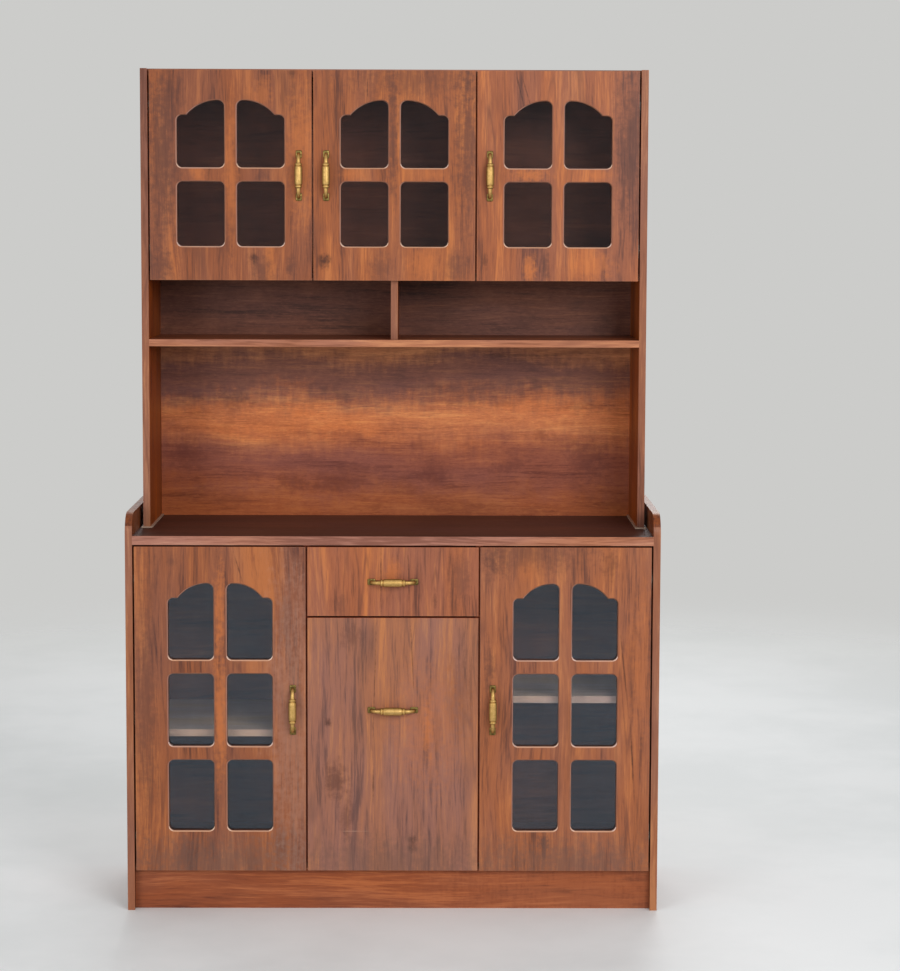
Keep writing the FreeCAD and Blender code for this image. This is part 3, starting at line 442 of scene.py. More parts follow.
def back_print():
    material, tree, shader, place = new_material("back_print")
    grain_place = along_grain(tree, place, "x")
    height = parts(tree, place)[2]
    drift = noise(tree, place, 5.0, 4.0, 0.55, (0.5, 1, 1))
    wisps = noise(tree, place, 48.0, 5.0, 0.7, (0.3, 1, 1))
    feather = noise(tree, place, 70.0, 4.0, 0.65, (1, 1, 0.25))
    level = swing(tree, drift, 0.16, height)
    level = swing(tree, wisps, 0.07, level)
    level = swing(tree, feather, 0.06, level)
    low_band = ramp(tree, level, 0.985, 1.1)
    high_band = ramp(tree, level, 1.09, 1.18)
    # A lighter band just under the open shelf: painted light against the shelf's shadow.
    under_shelf_light_band = ramp(tree, level, 1.2, 1.25)
    # Darker above the open shelf, in the niche: painted shade.
    niche_shade_band = ramp(tree, height, 1.27, 1.29)
    foot_band = ramp(tree, level, 0.87, 0.98, 1.0, 0.0)
    tones = []
    for foot, red, orange, purple, under_shelf_light, niche_shade in (
        ("#743418", "#6A3228", "#A0542E", "#54322E", "#7A4832", "#42241C"),
        ("#A0542E", "#92503E", "#D47A46", "#7A4B41", "#B4724E", "#6C4032"),
        ("#B86A3A", "#A86046", "#EE9A58", "#986249", "#D28E62", "#8A5842"),
    ):
        tone = mix(tree, low_band, colour(red), colour(orange))
        tone = mix(tree, high_band, tone, colour(purple))
        tone = mix(tree, under_shelf_light_band, tone, colour(under_shelf_light))
        tone = mix(tree, niche_shade_band, tone, colour(niche_shade))
        tones.append(mix(tree, foot_band, tone, colour(foot)))
    dark, middle, light = tones
    figured = place_group(tree, print_group, grain_place, 21.0, dark, middle, light, 0.75, 0.4)
    look = figured["Colour"]
    fleck = noise(tree, place, 330.0, 4.0, 0.7, (0.2, 1, 1))
    look = mix(tree, ramp(tree, fleck, 0.52, 0.68, 0.0, 0.45), look, dark)
    look = mix(tree, ramp(tree, fleck, 0.48, 0.34, 0.0, 0.4), look, light)
    mottle = noise(tree, place, 26.0, 4.0, 0.6, (0.6, 1, 1))
    look = mix(tree, ramp(tree, mottle, 0.54, 0.72, 0.0, 0.4), look, dark)
    look = mix(tree, ramp(tree, mottle, 0.46, 0.3, 0.0, 0.35), look, light)
    for x, z, width, length in BACK_KNOTS:
        mask = place_group(tree, mark_group, grain_place, (z, 0, -x), length, width, 0.0)[0]
        look = mix(tree, calc(tree, "MULTIPLY", mask, BACK_KNOT_STRENGTH), look, dark)
    dress_print(tree, shader, look, figured)
    return material


finish("hutch_back", back_print(), (REAR, raw_hardboard))


# Dowels of plain beech are hidden in the joints, and plated steel pins carry the loose shelves.
# Each stands half in one board and half in, or under, the other.
def beech():
    material, tree, shader, place = new_material("beech_dowel")
    flecks = noise(tree, place, 900.0, 3.0, stretch=(1, 1, 0.2))
    look = mix(tree, ramp(tree, flecks, 0.35, 0.65), colour("#C39A6B"), colour("#D8B688"))
    feed(tree, shader.inputs["Base Color"], look)
    feed(tree, shader.inputs["Roughness"], ramp(tree, flecks, 0.3, 0.7, 0.7, 0.55))
    return material


def metal_wear():
    """Fine brushing, clouded tarnish and scuffs that several metals share."""
    group, given, made = new_group(
        "metal_wear",
        {"Place": "Vector", "Clean": "Color", "Tarnished": "Color", "Tarnish": "Float", "Gloss": "Float"},
        {"Colour": "Color", "Roughness": "Float", "Scuffs": "Float"})
    cloud = noise(group, given["Place"], 170.0, 4.0, 0.65)
    fine = noise(group, given["Place"], 1900.0, 3.0, 0.6)
    share = calc(group, "MULTIPLY", ramp(group, cloud, 0.36, 0.66), given["Tarnish"])
    feed(group, made["Colour"], mix(group, share, given["Clean"], given["Tarnished"]))
    rough = calc(group, "MULTIPLY_ADD", fine, 0.12, given["Gloss"])
    feed(group, made["Roughness"], calc(group, "MULTIPLY_ADD", share, 0.15, rough))
    feed(group, made["Scuffs"], fine)
    return group


wear_group = metal_wear()
SCUFF_DEPTH = 0.00003


def dress_metal(tree, shader, *wear):
    """Make a shader a worn metal, from its place, clean and tarnished colours, tarnish and gloss."""
    worn = place_group(tree, wear_group, *wear)
    shader.inputs["Metallic"].default_value = 1.0
    feed(tree, shader.inputs["Base Color"], worn["Colour"])
    feed(tree, shader.inputs["Roughness"], worn["Roughness"])
    raise_bumps(tree, shader, worn["Scuffs"], SCUFF_DEPTH, 0.3)


def metal(name, clean, tarnished, tarnish, gloss):
    material, tree, shader, place = new_material(name)
    dress_metal(tree, shader, place, colour(clean), colour(tarnished), tarnish, gloss)
    return material


plated_steel = metal("plated_steel", "#C9C7C0", "#A3A097", 0.6, 0.2)
finish("carcass_dowels", beech())
finish("shelf_pins", plated_steel)


# Five pairs of cup hinges with cranked arms, in plated steel, hang the doors.
# Each arm is clamped to a winged plate on the board beside it, and small cross-head screws hold the plates.
HEAD_SIDES = 24
HEAD_PROFILE = (
    (0.14, 0.5), (0.26, 0.5), (0.38, 0.48), (0.5, 0.45), (0.62, 0.41), (0.76, 0.34), (0.9, 0.2), (1.0, 0.0),
)
CROSS_ARM = 0.17
CROSS_REACH = 0.6
CROSS_DEPTH = 0.3


def screw_head(mesh, place, out, radius, crossed=True):
    """Add a low domed head at place, looking along out: a screw's with a cross recess, or a plain nail's."""
    spot = Matrix.Translation(place) @ out.to_track_quat("Z", "Y").to_matrix().to_4x4()
    rings = []
    for share, rise in HEAD_PROFILE:
        ring = []
        for index in range(HEAD_SIDES):
            angle = math.tau * index / HEAD_SIDES
            x = share * math.cos(angle)
            y = share * math.sin(angle)
            sunk = crossed and min(abs(x), abs(y)) < CROSS_ARM and share < CROSS_REACH
            height = rise - CROSS_DEPTH if sunk else rise
            ring.append(mesh.verts.new(spot @ (Vector((x, y, height)) * radius)))
        rings.append(ring)
    mesh.faces.new(rings[0])
    mesh.faces.new(rings[-1])
    for inner, outer in zip(rings, rings[1:]):
        for index in range(HEAD_SIDES):
            after = (index + 1) % HEAD_SIDES
            mesh.faces.new((inner[index], outer[index], outer[after], inner[after]))


def new_piece(name, mesh, body, slot, *finishes):
    """Turn a built mesh into a piece that rides on its body."""
    bmesh.ops.recalc_face_normals(mesh, faces=mesh.faces)
    data = bpy.data.meshes.new(name)
    mesh.to_mesh(data)
    mesh.free()
    for material in finishes:
        data.materials.append(material)
    piece = bpy.data.objects.new(name, data)
    bpy.context.scene.collection.objects.link(piece)
    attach(piece, body)
    return piece


FRONT_GAP = 0.004
HINGE_INSET = 0.075
PLATE_FACE = {"side": 0.003, "partition": 0.013}
PLATE_SCREW_BACK = 0.0456
PLATE_SCREW_RISE = 0.018
PLATE_SCREW_RADIUS = 0.0038
ARM_THICK = 0.005
ARM_SCREWS = {"adjusting": (0.033, 0.0028), "clamping": (0.052, 0.0034)}
HINGES = {
    "hutch_left_door": (1, "side"),
    "hutch_middle_door": (-1, "partition"),
    "hutch_right_door": (-1, "side"),
    "base_left_door": (1, "side"),
    "base_right_door": (-1, "side"),
}
finish("hinge_arms", plated_steel)
finish("hinge_plates", plated_steel)
mesh = bmesh.new()
for door, (facing, carrier) in HINGES.items():
    low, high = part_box(f"{door}_panel")
    inward = Vector((facing, 0, 0))
    board_x = low.x - FRONT_GAP if facing > 0 else high.x + FRONT_GAP
    plate_x = board_x + facing * PLATE_FACE[carrier]
    arm_x = plate_x + facing * ARM_THICK
    for level in (low.z + HINGE_INSET, high.z - HINGE_INSET):
        for rise in (-PLATE_SCREW_RISE, PLATE_SCREW_RISE):
            place = Vector((plate_x, low.y + PLATE_SCREW_BACK, level + rise))
            screw_head(mesh, place, inward, PLATE_SCREW_RADIUS)
        for back, radius in ARM_SCREWS.values():
            screw_head(mesh, Vector((arm_x, low.y + back, level)), inward, radius)
new_piece("hinge_screws", mesh, "carcass", "plated_steel", plated_steel)


# Small round-headed steel nails hold the two hardboard backs.
# They are driven in level rows into the boards that lie flat, and in upright rows into those that stand.
NAIL_RADIUS = 0.0024
NAIL_INSET = 0.02
NAIL_SPACING = 0.12
LEVEL_ROWS = {"hutch_top": 9, "hutch_cupboard_floor": 9, "hutch_open_shelf": 9, "base_bottom": 10}
UPRIGHT_ROWS = ("hutch_partition", "hutch_shelf_divider", "base_left_partition", "base_right_partition")
nail_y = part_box("hutch_back")[1].y
mesh = bmesh.new()
for board, count in LEVEL_ROWS.items():
    low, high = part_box(board)
    for index in range(count):
        x = low.x + NAIL_INSET + (high.x - low.x - 2 * NAIL_INSET) * index / (count - 1)
        screw_head(mesh, Vector((x, nail_y, (low.z + high.z) / 2)), REAR, NAIL_RADIUS, False)
for board in UPRIGHT_ROWS:
    low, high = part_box(board)
    count = round((high.z - low.z) / NAIL_SPACING)
    for index in range(1, count):
        z = low.z + (high.z - low.z) * index / count
        screw_head(mesh, Vector(((low.x + high.x) / 2, nail_y, z)), REAR, NAIL_RADIUS, False)
new_piece("back_nails", mesh, "carcass", "plated_steel", plated_steel)


# Each glazed door is one laminated board with arched and square panes routed out and rounded over in front.
# The grain runs upright, and each door is cut from another part of the print, with marks of its own.
SMOKE = "#5C382E"
BARK = "#3E231C"
AMBER = "#C8733A"
DUSK = "#6A4E44"
ROSE = "#B88C78"
door_finishes = {
    "hutch_left_door": ("#5E3629", "#8E5134", "#AC663C", 32.02, (
        (SMOKE, 0.75, -0.525, 1.72, 0.05, 0.26, 0.0), (BARK, 0.8, -0.322, 1.474, 0.012, 0.016, 0.0),
        (SMOKE, 0.7, -0.236, 1.455, 0.016, 0.03, 0.0), (BARK, 0.6, -0.231, 1.889, 0.014, 0.012, 0.0),
        (BARK, 0.6, -0.42, 1.673, 0.004, 0.03, 0.05), (AMBER, 0.5, -0.445, 1.67, 0.02, 0.03, 0.0),
        (AMBER, 0.4, -0.30, 1.84, 0.03, 0.05, 0.05), (SMOKE, 0.5, -0.30, 1.63, 0.02, 0.10, 0.0),
        (AMBER, 0.5, -0.212, 1.72, 0.035, 0.18, 0.0), (AMBER, 0.45, -0.371, 1.66, 0.018, 0.18, 0.0),
        (SMOKE, 0.5, -0.53, 1.45, 0.032, 0.05, 0.0), (SMOKE, 0.6, -0.30, 1.445, 0.03, 0.045, 0.0))),
    "hutch_middle_door": ("#633A2E", "#985838", "#B66E40", 34.68, (
        (BARK, 0.85, -0.158, 1.467, 0.015, 0.018, 0.0), (BARK, 0.7, -0.061, 1.855, 0.002, 0.05, 0.03),
        (SMOKE, 0.7, -0.004, 1.75, 0.016, 0.16, 0.0), (SMOKE, 0.7, 0.165, 1.72, 0.035, 0.2, 0.0),
        (AMBER, 0.4, -0.10, 1.664, 0.03, 0.018, 0.0), (AMBER, 0.4, 0.08, 1.664, 0.03, 0.018, 0.0),
        (AMBER, 0.4, 0.07, 1.46, 0.05, 0.04, 0.0), (SMOKE, 0.5, 0.05, 1.88, 0.2, 0.06, 0.0),
        (SMOKE, 0.5, -0.032, 1.45, 0.03, 0.045, 0.0), (SMOKE, 0.5, 0.14, 1.45, 0.03, 0.045, 0.0))),
    "hutch_right_door": ("#633A2E", "#9A593B", "#B97043", 38.02, (
        (BARK, 0.7, 0.285, 1.85, 0.0025, 0.05, -0.25), (BARK, 0.6, 0.30, 1.845, 0.002, 0.045, -0.3),
        (SMOKE, 0.75, 0.54, 1.73, 0.045, 0.2, 0.0), (SMOKE, 0.7, 0.342, 1.46, 0.012, 0.05, 0.0),
        (AMBER, 0.7, 0.308, 1.45, 0.016, 0.04, 0.0), (AMBER, 0.5, 0.47, 1.664, 0.03, 0.02, 0.0),
        (AMBER, 0.45, 0.45, 1.46, 0.06, 0.035, 0.0), (BARK, 0.5, 0.205, 1.468, 0.008, 0.02, 0.0),
        (AMBER, 0.7, 0.305, 1.664, 0.05, 0.024, 0.0))),
    "base_left_door": ("#5B352A", "#8E5337", "#A96740", 41.68, (
        (SMOKE, 0.5, -0.494, 0.80, 0.014, 0.02, 0.0), (SMOKE, 0.5, -0.24, 0.66, 0.018, 0.06, 0.0),
        (SMOKE, 0.5, -0.555, 0.48, 0.03, 0.36, 0.0), (SMOKE, 0.5, -0.416, 0.14, 0.014, 0.04, 0.0),
        (BARK, 0.6, -0.347, 0.785, 0.002, 0.04, -0.3), (SMOKE, 0.6, -0.25, 0.15, 0.03, 0.05, 0.0),
        (AMBER, 0.6, -0.39, 0.70, 0.014, 0.12, 0.0), (AMBER, 0.6, -0.39, 0.45, 0.016, 0.2, 0.0),
        (SMOKE, 0.4, -0.47, 0.13, 0.03, 0.04, 0.0), (DUSK, 0.6, -0.39, 0.11, 0.26, 0.07, 0.0),
        (ROSE, 0.3, -0.222, 0.42, 0.075, 0.4, 0.0))),
    "base_right_door": ("#643C30", "#9A5C3E", "#B47046", 45.02, (
        (BARK, 0.75, 0.522, 0.54, 0.002, 0.10, -0.11), (BARK, 0.85, 0.540, 0.36, 0.0025, 0.09, -0.06),
        (SMOKE, 0.8, 0.34, 0.15, 0.014, 0.035, 0.0), (SMOKE, 0.6, 0.225, 0.79, 0.02, 0.04, 0.0),
        (SMOKE, 0.7, 0.218, 0.56, 0.014, 0.06, 0.0), (BARK, 0.4, 0.49, 0.79, 0.02, 0.04, 0.0),
        (AMBER, 0.7, 0.455, 0.143, 0.008, 0.018, 0.0), (AMBER, 0.4, 0.30, 0.78, 0.03, 0.03, 0.0),
        (AMBER, 0.3, 0.565, 0.55, 0.04, 0.22, 0.0),
        (DUSK, 0.6, 0.39, 0.11, 0.26, 0.07, 0.0), (SMOKE, 0.55, 0.29, 0.82, 0.17, 0.06, 0.0))),
}
# Rims facing up are lighter as a painted highlight, most at the lower corners, and rims facing right a
# little; plain_rim is the rims' own colour.
corner_rim_painted_highlight = laminate("corner_rim_painted_highlight", "x", "#B88E7A", "#DCBCAA", "#E8D0C2", 25.0, 0.6, 0.28)
upward_rim_painted_highlight = laminate("upward_rim_painted_highlight", "x", "#9C6E58", "#C6977F", "#D6AC96", 29.0, 0.6, 0.28)
side_rim_painted_highlight = laminate("side_rim_painted_highlight", "z", "#7C5242", "#A47664", "#B48876", 26.0, 0.6, 0.3)
plain_rim = laminate("plain_rim", "z", "#5E382A", "#8A5A44", "#9C6A50", 27.0, 0.6, 0.3)
# The fronts' outer edges are a brighter red than their faces: painted light that lifts the gaps between the
# fronts.
front_edge_painted_light = laminate("front_edge_painted_light", "z", "#702E1C", "#A0482C", "#B25838", 24.0, 0.6)
cut_wall = laminate("cut_wall", "z", "#402218", "#6A3E2C", "#7E4E38", 28.0, 0.6)
FLAT_FACE = 0.98
UPRIGHT_WALL = 0.08
OUTER_EDGE = 0.001
CORNER_TILT = 0.2
LOWER_TILT = 0.15
SIDE_TILT = 0.25


def finish_door(node, face):
    """Laminate on face and back, dark walls, and rims with a painted highlight where they face up, most at
    the lower corners, and a fainter one where they face right.
    """
    low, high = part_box(node)
    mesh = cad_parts[node].data
    mesh.materials.clear()
    finishes = (face, corner_rim_painted_highlight, upward_rim_painted_highlight, side_rim_painted_highlight, plain_rim, cut_wall, front_edge_painted_light)
    for material in finishes:
        mesh.materials.append(material)
    for polygon in mesh.polygons:
        normal = polygon.normal
        centre = polygon.center
        to_outside = min(centre.x - low.x, high.x - centre.x, centre.z - low.z, high.z - centre.z)
        if abs(normal.y) > FLAT_FACE:
            chosen = face
        elif abs(normal.y) < UPRIGHT_WALL:
            chosen = front_edge_painted_light if to_outside < OUTER_EDGE else cut_wall
        elif normal.z > CORNER_TILT and abs(normal.x) > CORNER_TILT:
            chosen = corner_rim_painted_highlight
        elif normal.z > LOWER_TILT:
            chosen = upward_rim_painted_highlight
        elif normal.x > SIDE_TILT:
            chosen = side_rim_painted_highlight
        else:
            chosen = plain_rim
        polygon.material_index = finishes.index(chosen)


for door, (dark, middle, light, seed, marks) in door_finishes.items():
    panel = f"{door}_panel"
    face = laminate(f"{door}_laminate", "z", dark, middle, light, seed, marks=marks, rubbed=panel)
    finish_door(panel, face)


# A sheet of lightly smoked glass lies in a rebate behind each door's panes, held by eight plastic clips.
# Each clip has one screw, and two steel hinge cups are let into the door and screwed down at their wings.
def smoked_glass(name, deep, pale, glint, bend):
    """Tinted sheet glass with faint smears; glint tones its mirror image, bend is how far it turns light."""
    material, tree, shader, place = new_material(name)
    smear = noise(tree, place, 14.0, 4.0, 0.6, (1, 1, 0.5))
    tint = mix(tree, ramp(tree, smear, 0.35, 0.7), colour(deep), colour(pale))
    feed(tree, shader.inputs["Base Color"], tint)
    feed(tree, shader.inputs["Roughness"], ramp(tree, smear, 0.4, 0.75, 0.02, 0.07))
    shader.inputs["Transmission Weight"].default_value = 1.0
    shader.inputs["IOR"].default_value = bend
    shader.inputs["Specular Tint"].default_value = colour(glint)
    return material


GLASS_LAP = 0.009
HALF_MUNTIN = {"hutch": 0.0145, "base": 0.015}
CLIP_THICK = 0.002
CLIP_SCREW_OUT = 0.0045
CLIP_SCREW_RADIUS = 0.0026
CUP_INSET = 0.029
CUP_SCREW_RISE = 0.0235
CUP_SCREW_RADIUS = 0.0036
glass_finishes = {
    "hutch": smoked_glass("brown_glass", "#B4A8A2", "#C0B4AE", "#BCBAC2", 1.45),
    "base": smoked_glass("grey_glass", "#BEC8CE", "#C8D2D8", "#E0ECFF", 1.64),
}
clear_clip = moulded_plastic("clear_clip", "#C9CBC6", "#B5B8B3", 0.25)
for door in door_finishes:
    unit = door.split("_")[0]
    finish(f"{door}_glass", glass_finishes[unit])
    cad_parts[f"{door}_glass"].visible_shadow = False
    finish(f"{door}_glass_clips", clear_clip)
    finish(f"{door}_hinge_cups", plated_steel)
    mesh = bmesh.new()
    low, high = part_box(f"{door}_hinge_cups")
    for level in (low.z + CUP_INSET, high.z - CUP_INSET):
        for rise in (-CUP_SCREW_RISE, CUP_SCREW_RISE):
            place = Vector(((low.x + high.x) / 2, high.y, level + rise))
            screw_head(mesh, place, REAR, CUP_SCREW_RADIUS)
    low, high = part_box(f"{door}_glass")
    middle = (low + high) / 2
    clip_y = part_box(f"{door}_panel")[1].y + CLIP_THICK
    column = (HALF_MUNTIN[unit] + (high.x - low.x) / 2 - GLASS_LAP) / 2
    quarter = (high.z - low.z) / 4
    for side in (-1, 1):
        for z in (low.z - CLIP_SCREW_OUT, high.z + CLIP_SCREW_OUT):
            screw_head(mesh, Vector((middle.x + side * column, clip_y, z)), REAR, CLIP_SCREW_RADIUS)
        for x in (low.x - CLIP_SCREW_OUT, high.x + CLIP_SCREW_OUT):
            screw_head(mesh, Vector((x, clip_y, middle.z + side * quarter)), REAR, CLIP_SCREW_RADIUS)
    new_piece(f"{door}_screws", mesh, door, "plated_steel", plated_steel)


# Seven cast pulls in antique brass: a turned grip between two ring collars, bent necks and flat end tabs.
# Each is screwed on from behind its front; the grip carries a painted highlight where it faces the front, and
# the tabs have gone dark.
def brass_with_painted_highlight():
    """Cast brass under a dark olive patina, with a painted highlight where it faces the front."""
    material, tree, shader, place = new_material("brass_with_painted_highlight")
    facing = parts(tree, add(tree, "TexCoord").outputs["Normal"])[1]
    # Where the brass faces the front it turns brighter: a painted highlight.
    rubbed = ramp(tree, facing, -0.1, -0.75)
    clean = mix(tree, rubbed, colour("#866C36"), colour("#D3AD6C"))
    tarnished = mix(tree, rubbed, colour("#5A4522"), colour("#A98546"))
    dress_metal(tree, shader, place, clean, tarnished, 0.5, 0.44)
    return material


grip_brass_painted_highlight = brass_with_painted_highlight()
dark_brass = metal("dark_brass", "#8C7844", "#57472A", 0.8, 0.36)
GRIP_FINISH, TAB_FINISH, SCREW_FINISH = range(3)
FRONT_THICK = 0.016
STANDOFF = 0.019
HALF_SPACING = 0.048
NECK_STEPS = 10
NECK_RADIUS = 0.0044
NECK_GAIN = 0.0005
NECK_WAIST = 0.0004
RING_SIDES = 28
GRIP_PROFILE = (
    (-0.0300, 0.0050), (-0.0285, 0.0053), (-0.0278, 0.0061), (-0.0273, 0.0071), (-0.0265, 0.0079),
    (-0.0251, 0.0083), (-0.0237, 0.0080), (-0.0229, 0.0073), (-0.0225, 0.0067), (-0.0217, 0.0066),
    (-0.0211, 0.0072), (-0.0204, 0.0082), (-0.0192, 0.0087), (-0.0120, 0.0089), (-0.0060, 0.0090),
    (0.0, 0.0090),
)
TAB_THICK = 0.003
TAB_SIZE = (0.014, 0.018)
TAB_CORNER = 0.003
TAB_SIDES = 32
TAB_LAYERS = ((0.0, 0.0), (0.0, 0.002), (0.0004, 0.0026), (0.0012, 0.003), (0.0034, 0.0033))
BEND = STANDOFF - TAB_THICK
PULL_SCREW_RADIUS = 0.004
PULL_BOARDS = {
    "hutch_left_door": "panel",
    "hutch_middle_door": "panel",
    "hutch_right_door": "panel",
    "base_left_door": "panel",
    "base_right_door": "panel",
    "drawer": "front",
    "pullout": "front",
}


def ring_of(mesh, centre, across, forward, radius):
    ring = []
    for index in range(RING_SIDES):
        angle = math.tau * index / RING_SIDES
        out = across * math.cos(angle) + forward * math.sin(angle)
        ring.append(mesh.verts.new(centre + out * radius))
    return ring


def bridge(mesh, first, second, finish_index):
    for index in range(len(first)):
        after = (index + 1) % len(first)
        face = mesh.faces.new((first[index], first[after], second[after], second[index]))
        face.material_index = finish_index
        face.smooth = True


def tab_outline(half_x, half_z, y):
    points = []
    for index in range(TAB_SIDES):
        angle = math.tau * index / TAB_SIDES
        x = math.copysign(half_x - TAB_CORNER, math.cos(angle)) + TAB_CORNER * math.cos(angle)
        z = math.copysign(half_z - TAB_CORNER, math.sin(angle)) + TAB_CORNER * math.sin(angle)
        points.append(Vector((x, y, z)))
    return points


def pull_mesh():
    """The pull with its grip along z, its axis at the origin, and the front's face at y = STANDOFF."""
    mesh = bmesh.new()
    across = Vector((1, 0, 0))
    stations = []
    for step in range(NECK_STEPS + 1):
        angle = math.pi / 2 * step / NECK_STEPS
        place = Vector((0, BEND - BEND * math.sin(angle), -HALF_SPACING + BEND - BEND * math.cos(angle)))
        normal = Vector((0, math.cos(angle), -math.sin(angle))).cross(across)
        radius = NECK_RADIUS + NECK_GAIN * step / NECK_STEPS - NECK_WAIST * math.sin(angle * 2)
        stations.append((place, normal, radius))
    for z, radius in GRIP_PROFILE:
        stations.append((Vector((0, 0, z)), Vector((0, 1, 0)), radius))
    mirrored = [(Vector((0, place.y, -place.z)), Vector((0, normal.y, -normal.z)), radius)
                for place, normal, radius in reversed(stations[:-1])]
    rings = []
    for place, normal, radius in stations + mirrored:
        side = normal if normal.y >= 0 else -normal
        rings.append(ring_of(mesh, place, across, side, radius))
    for first, second in zip(rings, rings[1:]):
        bridge(mesh, first, second, GRIP_FINISH)
    for end in (rings[0], rings[-1]):
        mesh.faces.new(end)
    for side in (-1, 1):
        middle = Vector((0, 0, side * HALF_SPACING))
        layers = []
        for shrink, rise in TAB_LAYERS:
            points = tab_outline(TAB_SIZE[0] / 2 - shrink, TAB_SIZE[1] / 2 - shrink, STANDOFF - rise)
            layers.append([mesh.verts.new(point + middle) for point in points])
        for first, second in zip(layers, layers[1:]):
            bridge(mesh, first, second, TAB_FINISH)
        for layer in (layers[0], layers[-1]):
            mesh.faces.new(layer).material_index = TAB_FINISH
    return mesh


for owner, board in PULL_BOARDS.items():
    low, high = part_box(f"{owner}_pull")
    face_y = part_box(f"{owner}_{board}")[0].y
    middle = Vector(((low.x + high.x) / 2, face_y - STANDOFF, (low.z + high.z) / 2))
    turn = Matrix.Rotation(math.pi / 2, 4, "Y") if board == "front" else Matrix.Identity(4)
    mesh = pull_mesh()
    for side in (-1, 1):
        place = Vector((0, STANDOFF + FRONT_THICK, side * HALF_SPACING))
        screw_head(mesh, place, REAR, PULL_SCREW_RADIUS)
    for face in mesh.faces:
        if face.calc_center_median().y > STANDOFF + FRONT_THICK / 2:
            face.material_index = SCREW_FINISH
    bmesh.ops.transform(mesh, matrix=Matrix.Translation(middle) @ turn, verts=mesh.verts)
    finishes = (grip_brass_painted_highlight, dark_brass, plated_steel)
    pull = new_piece(f"{owner}_cast_pull", mesh, owner, "antique_brass", *finishes)
    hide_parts(f"{owner}_pull")


# The drawer and the tall pull-out have fronts in the laminate of the doors.
# Their boxes are thin laminated boards with a hardboard bottom, and ride on folded steel runners.
PALE_SCRATCH = "#CBA58C"
box_finishes = {
    "drawer": ("#673C2E", "#9C5C40", "#B87044", 53.85, (
        (BARK, 0.4, 0.095, 0.71, 0.006, 0.03, 0.0), (SMOKE, 0.4, -0.12, 0.70, 0.02, 0.03, 0.0),
        (AMBER, 0.55, 0.0, 0.775, 0.02, 0.03, 0.0), (SMOKE, 0.45, 0.15, 0.76, 0.03, 0.07, 0.0),
        (BARK, 0.6, -0.027, 0.76, 0.0016, 0.09, 0.0), (BARK, 0.6, 0.035, 0.76, 0.0016, 0.09, -0.03))),
    "pullout": ("#6C493F", "#99644F", "#B2744F", 57.68, (
        (BARK, 0.8, -0.148, 0.433, 0.009, 0.014, 0.0), (SMOKE, 0.7, -0.129, 0.297, 0.03, 0.05, 0.0),
        (SMOKE, 0.5, -0.105, 0.22, 0.016, 0.06, 0.1), (BARK, 0.6, -0.044, 0.297, 0.0022, 0.04, 0.0),
        (BARK, 0.8, 0.046, 0.154, 0.01, 0.022, 0.0), (BARK, 0.6, 0.044, 0.57, 0.0016, 0.11, -0.05),
        (BARK, 0.55, -0.041, 0.52, 0.0016, 0.15, 0.03), (SMOKE, 0.35, 0.15, 0.5, 0.03, 0.12, 0.0),
        (SMOKE, 0.4, -0.09, 0.63, 0.03, 0.03, 0.0), (AMBER, 0.5, 0.079, 0.416, 0.012, 0.075, 0.0),
        (PALE_SCRATCH, 0.6, -0.09, 0.183, 0.03, 0.0007, 0.0), (DUSK, 0.5, 0.0, 0.11, 0.26, 0.07, 0.0),
        (AMBER, 0.3, 0.08, 0.42, 0.09, 0.16, 0.0))),
}
RUNNER_SHEET = 0.0015
RUNNER_SCREWS_BACK = (0.035, 0.12, 0.205, 0.29)
RUNNER_SCREW_RADIUS = 0.0036
box_laminate = laminate("box_laminate", "y", "#6A4632", "#8E6244", "#A67852", 51.0, 0.7)
runner_steel = metal("runner_steel", "#B6B5B0", "#8B8A85", 0.6, 0.3)
for owner, (dark, middle, light, seed, marks) in box_finishes.items():
    board = f"{owner}_front"
    face = laminate(f"{owner}_laminate", "z", dark, middle, light, seed, marks=marks, rubbed=board)
    # Their side, top and bottom edges take the brighter red edge, painted light in the gaps between the
    # fronts.
    finish(board, face, *((direction, front_edge_painted_light) for direction in (*OUTWARD.values(), UP, -UP)))
    ease_edges(board)
    finish(f"{owner}_sides", box_laminate)
    finish(f"{owner}_back", box_laminate)
    finish(f"{owner}_bottom", raw_hardboard)
    finish(f"{owner}_runners", runner_steel)
    mesh = bmesh.new()
    low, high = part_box(f"{owner}_runners")
    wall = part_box(f"{owner}_sides")[1].x
    for side in (-1, 1):
        for back in RUNNER_SCREWS_BACK:
            place = Vector((side * (wall + RUNNER_SHEET), low.y + back, (low.z + high.z) / 2))
            screw_head(mesh, place, Vector((side, 0, 0)), RUNNER_SCREW_RADIUS)
    new_piece(f"{owner}_runner_screws", mesh, owner, "plated_steel", plated_steel)
finish("cabinet_runners", runner_steel)


# The stage: a pale floor that fades out into a pale background, soft light, and the camera at eye height.
# Glass and metal mirror the plain background, so the floor is left out of mirror images but keeps the shadow.
# The camera stands about five and a half metres away, a little right of the middle.
FLOOR_RADIUS = 9.0
FLOOR_SIDES = 96
FADE_START = 1.6
FADE_END = 5.0
ROOM_LIGHT = 0.55


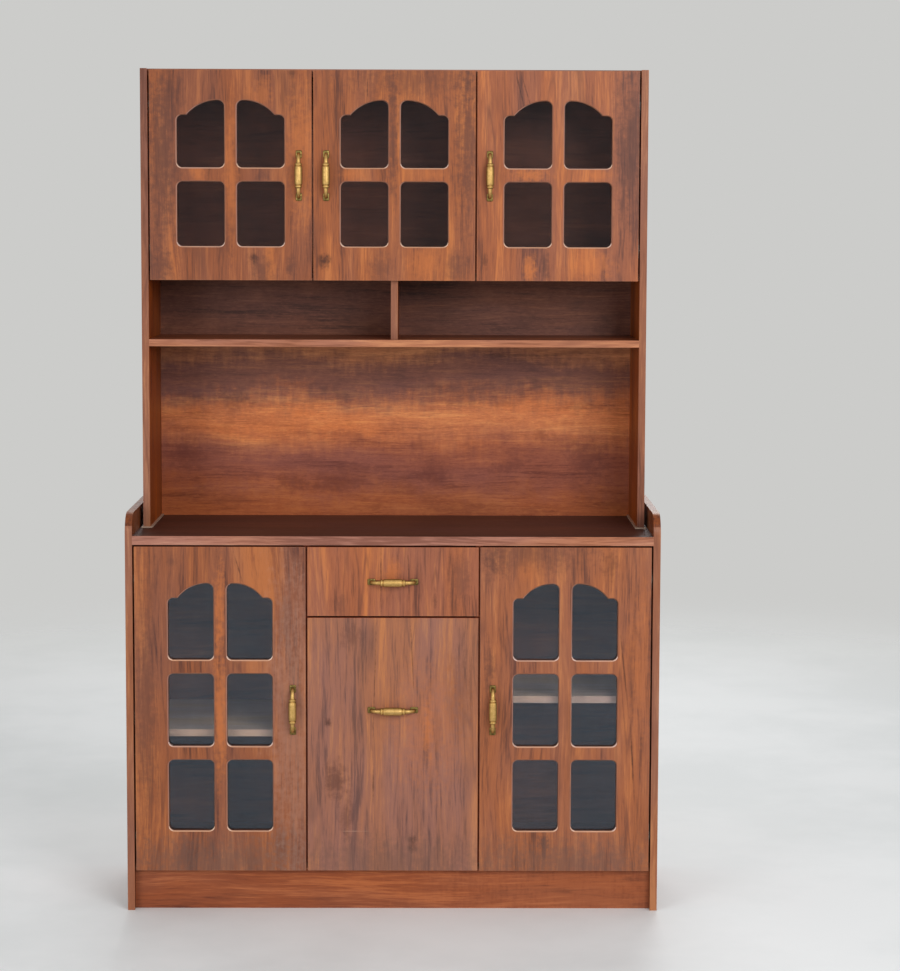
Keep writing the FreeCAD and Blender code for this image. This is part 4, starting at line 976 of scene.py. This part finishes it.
def stage_floor():
    mesh = bmesh.new()
    bmesh.ops.create_circle(mesh, cap_ends=True, radius=FLOOR_RADIUS, segments=FLOOR_SIDES)
    data = bpy.data.meshes.new("floor")
    mesh.to_mesh(data)
    mesh.free()
    floor = bpy.data.objects.new("floor", data)
    bpy.context.scene.collection.objects.link(floor)
    material, tree, shader, place = new_material("pale_floor")
    cloud = noise(tree, place, 1.4, 5.0, 0.6)
    look = mix(tree, ramp(tree, cloud, 0.35, 0.65), colour("#E8ECEE"), colour("#F2F5F7"))
    feed(tree, shader.inputs["Base Color"], look)
    feed(tree, shader.inputs["Roughness"], ramp(tree, cloud, 0.3, 0.7, 0.45, 0.6))
    away = feed_all(tree, add(tree, "VectorMath", operation="LENGTH"), place)["Value"]
    fade = ramp(tree, away, FADE_START, FADE_END)
    see_through = add(tree, "BsdfTransparent")
    blend = feed_all(tree, add(tree, "MixShader"), fade, shader.outputs[0], see_through.outputs[0])
    feed(tree, tree.nodes["Material Output"].inputs["Surface"], blend[0])
    data.materials.append(material)
    floor.visible_glossy = False


def soft_lamp(name, place, target, width, height, power):
    data = bpy.data.lights.new(name, "AREA")
    data.shape = "RECTANGLE"
    data.size = width
    data.size_y = height
    data.energy = power
    lamp = bpy.data.objects.new(name, data)
    lamp.location = place
    lamp.rotation_euler = (Vector(target) - Vector(place)).to_track_quat("-Z", "Y").to_euler()
    bpy.context.scene.collection.objects.link(lamp)


def pale_world():
    """Soft light from all round, and a plain background for the camera, mirror images and glass."""
    world = bpy.data.worlds.new("pale_room")
    bpy.context.scene.world = world
    world.use_nodes = True
    tree = world.node_tree
    tree.nodes.clear()
    path = add(tree, "LightPath").outputs
    seen = calc(tree, "MAXIMUM", path["Is Camera Ray"], path["Is Glossy Ray"])
    seen = calc(tree, "MAXIMUM", seen, path["Is Transmission Ray"])
    around = feed_all(tree, add(tree, "Background"), colour("#F4F3F1"), ROOM_LIGHT)
    behind = feed_all(tree, add(tree, "Background"), colour("#CCCCCA"))
    blend = feed_all(tree, add(tree, "MixShader"), seen, around[0], behind[0])
    feed(tree, add(tree, "OutputWorld").inputs["Surface"], blend[0])


stage_floor()
pale_world()
soft_lamp("key", (2.2, -4.6, 2.7), (0, 0, 0.95), 2.4, 2.0, 125.0)
soft_lamp("fill", (-3.0, -4.2, 1.6), (0, 0, 0.9), 2.0, 2.4, 62.0)
soft_lamp("behind", (0.5, 4.5, 3.0), (0, 0, 1.0), 3.0, 2.0, 70.0)

PHOTO_WIDTH = 900
FOCAL_PIXELS = 2477.6
SENSOR = 36.0
CAMERA_PLACE = (0.0812, -5.6903, 1.5716)
CAMERA_YAW = 0.0083
CAMERA_PITCH = 0.0935
CAMERA_ROLL = 0.0034
CAMERA_DROP = -37.9
level_share = math.cos(CAMERA_PITCH)
forward_x = math.sin(CAMERA_YAW) * level_share
forward_y = math.cos(CAMERA_YAW) * level_share
forward = Vector((forward_x, forward_y, -math.sin(CAMERA_PITCH)))
level_right = Vector((math.cos(CAMERA_YAW), -math.sin(CAMERA_YAW), 0))
level_up = level_right.cross(forward)
right = level_right * math.cos(CAMERA_ROLL) + level_up * math.sin(CAMERA_ROLL)
up = level_up * math.cos(CAMERA_ROLL) - level_right * math.sin(CAMERA_ROLL)
lens = bpy.data.cameras.new("camera")
lens.sensor_fit = "HORIZONTAL"
lens.sensor_width = SENSOR
lens.lens = FOCAL_PIXELS / PHOTO_WIDTH * SENSOR
lens.shift_y = CAMERA_DROP / PHOTO_WIDTH
camera = bpy.data.objects.new("camera", lens)
camera.matrix_world = Matrix((
    (right.x, up.x, -forward.x, CAMERA_PLACE[0]),
    (right.y, up.y, -forward.y, CAMERA_PLACE[1]),
    (right.z, up.z, -forward.z, CAMERA_PLACE[2]),
    (0, 0, 0, 1),
))
bpy.context.scene.collection.objects.link(camera)
bpy.context.scene.camera = camera
bpy.context.scene.view_settings.view_transform = "Standard"
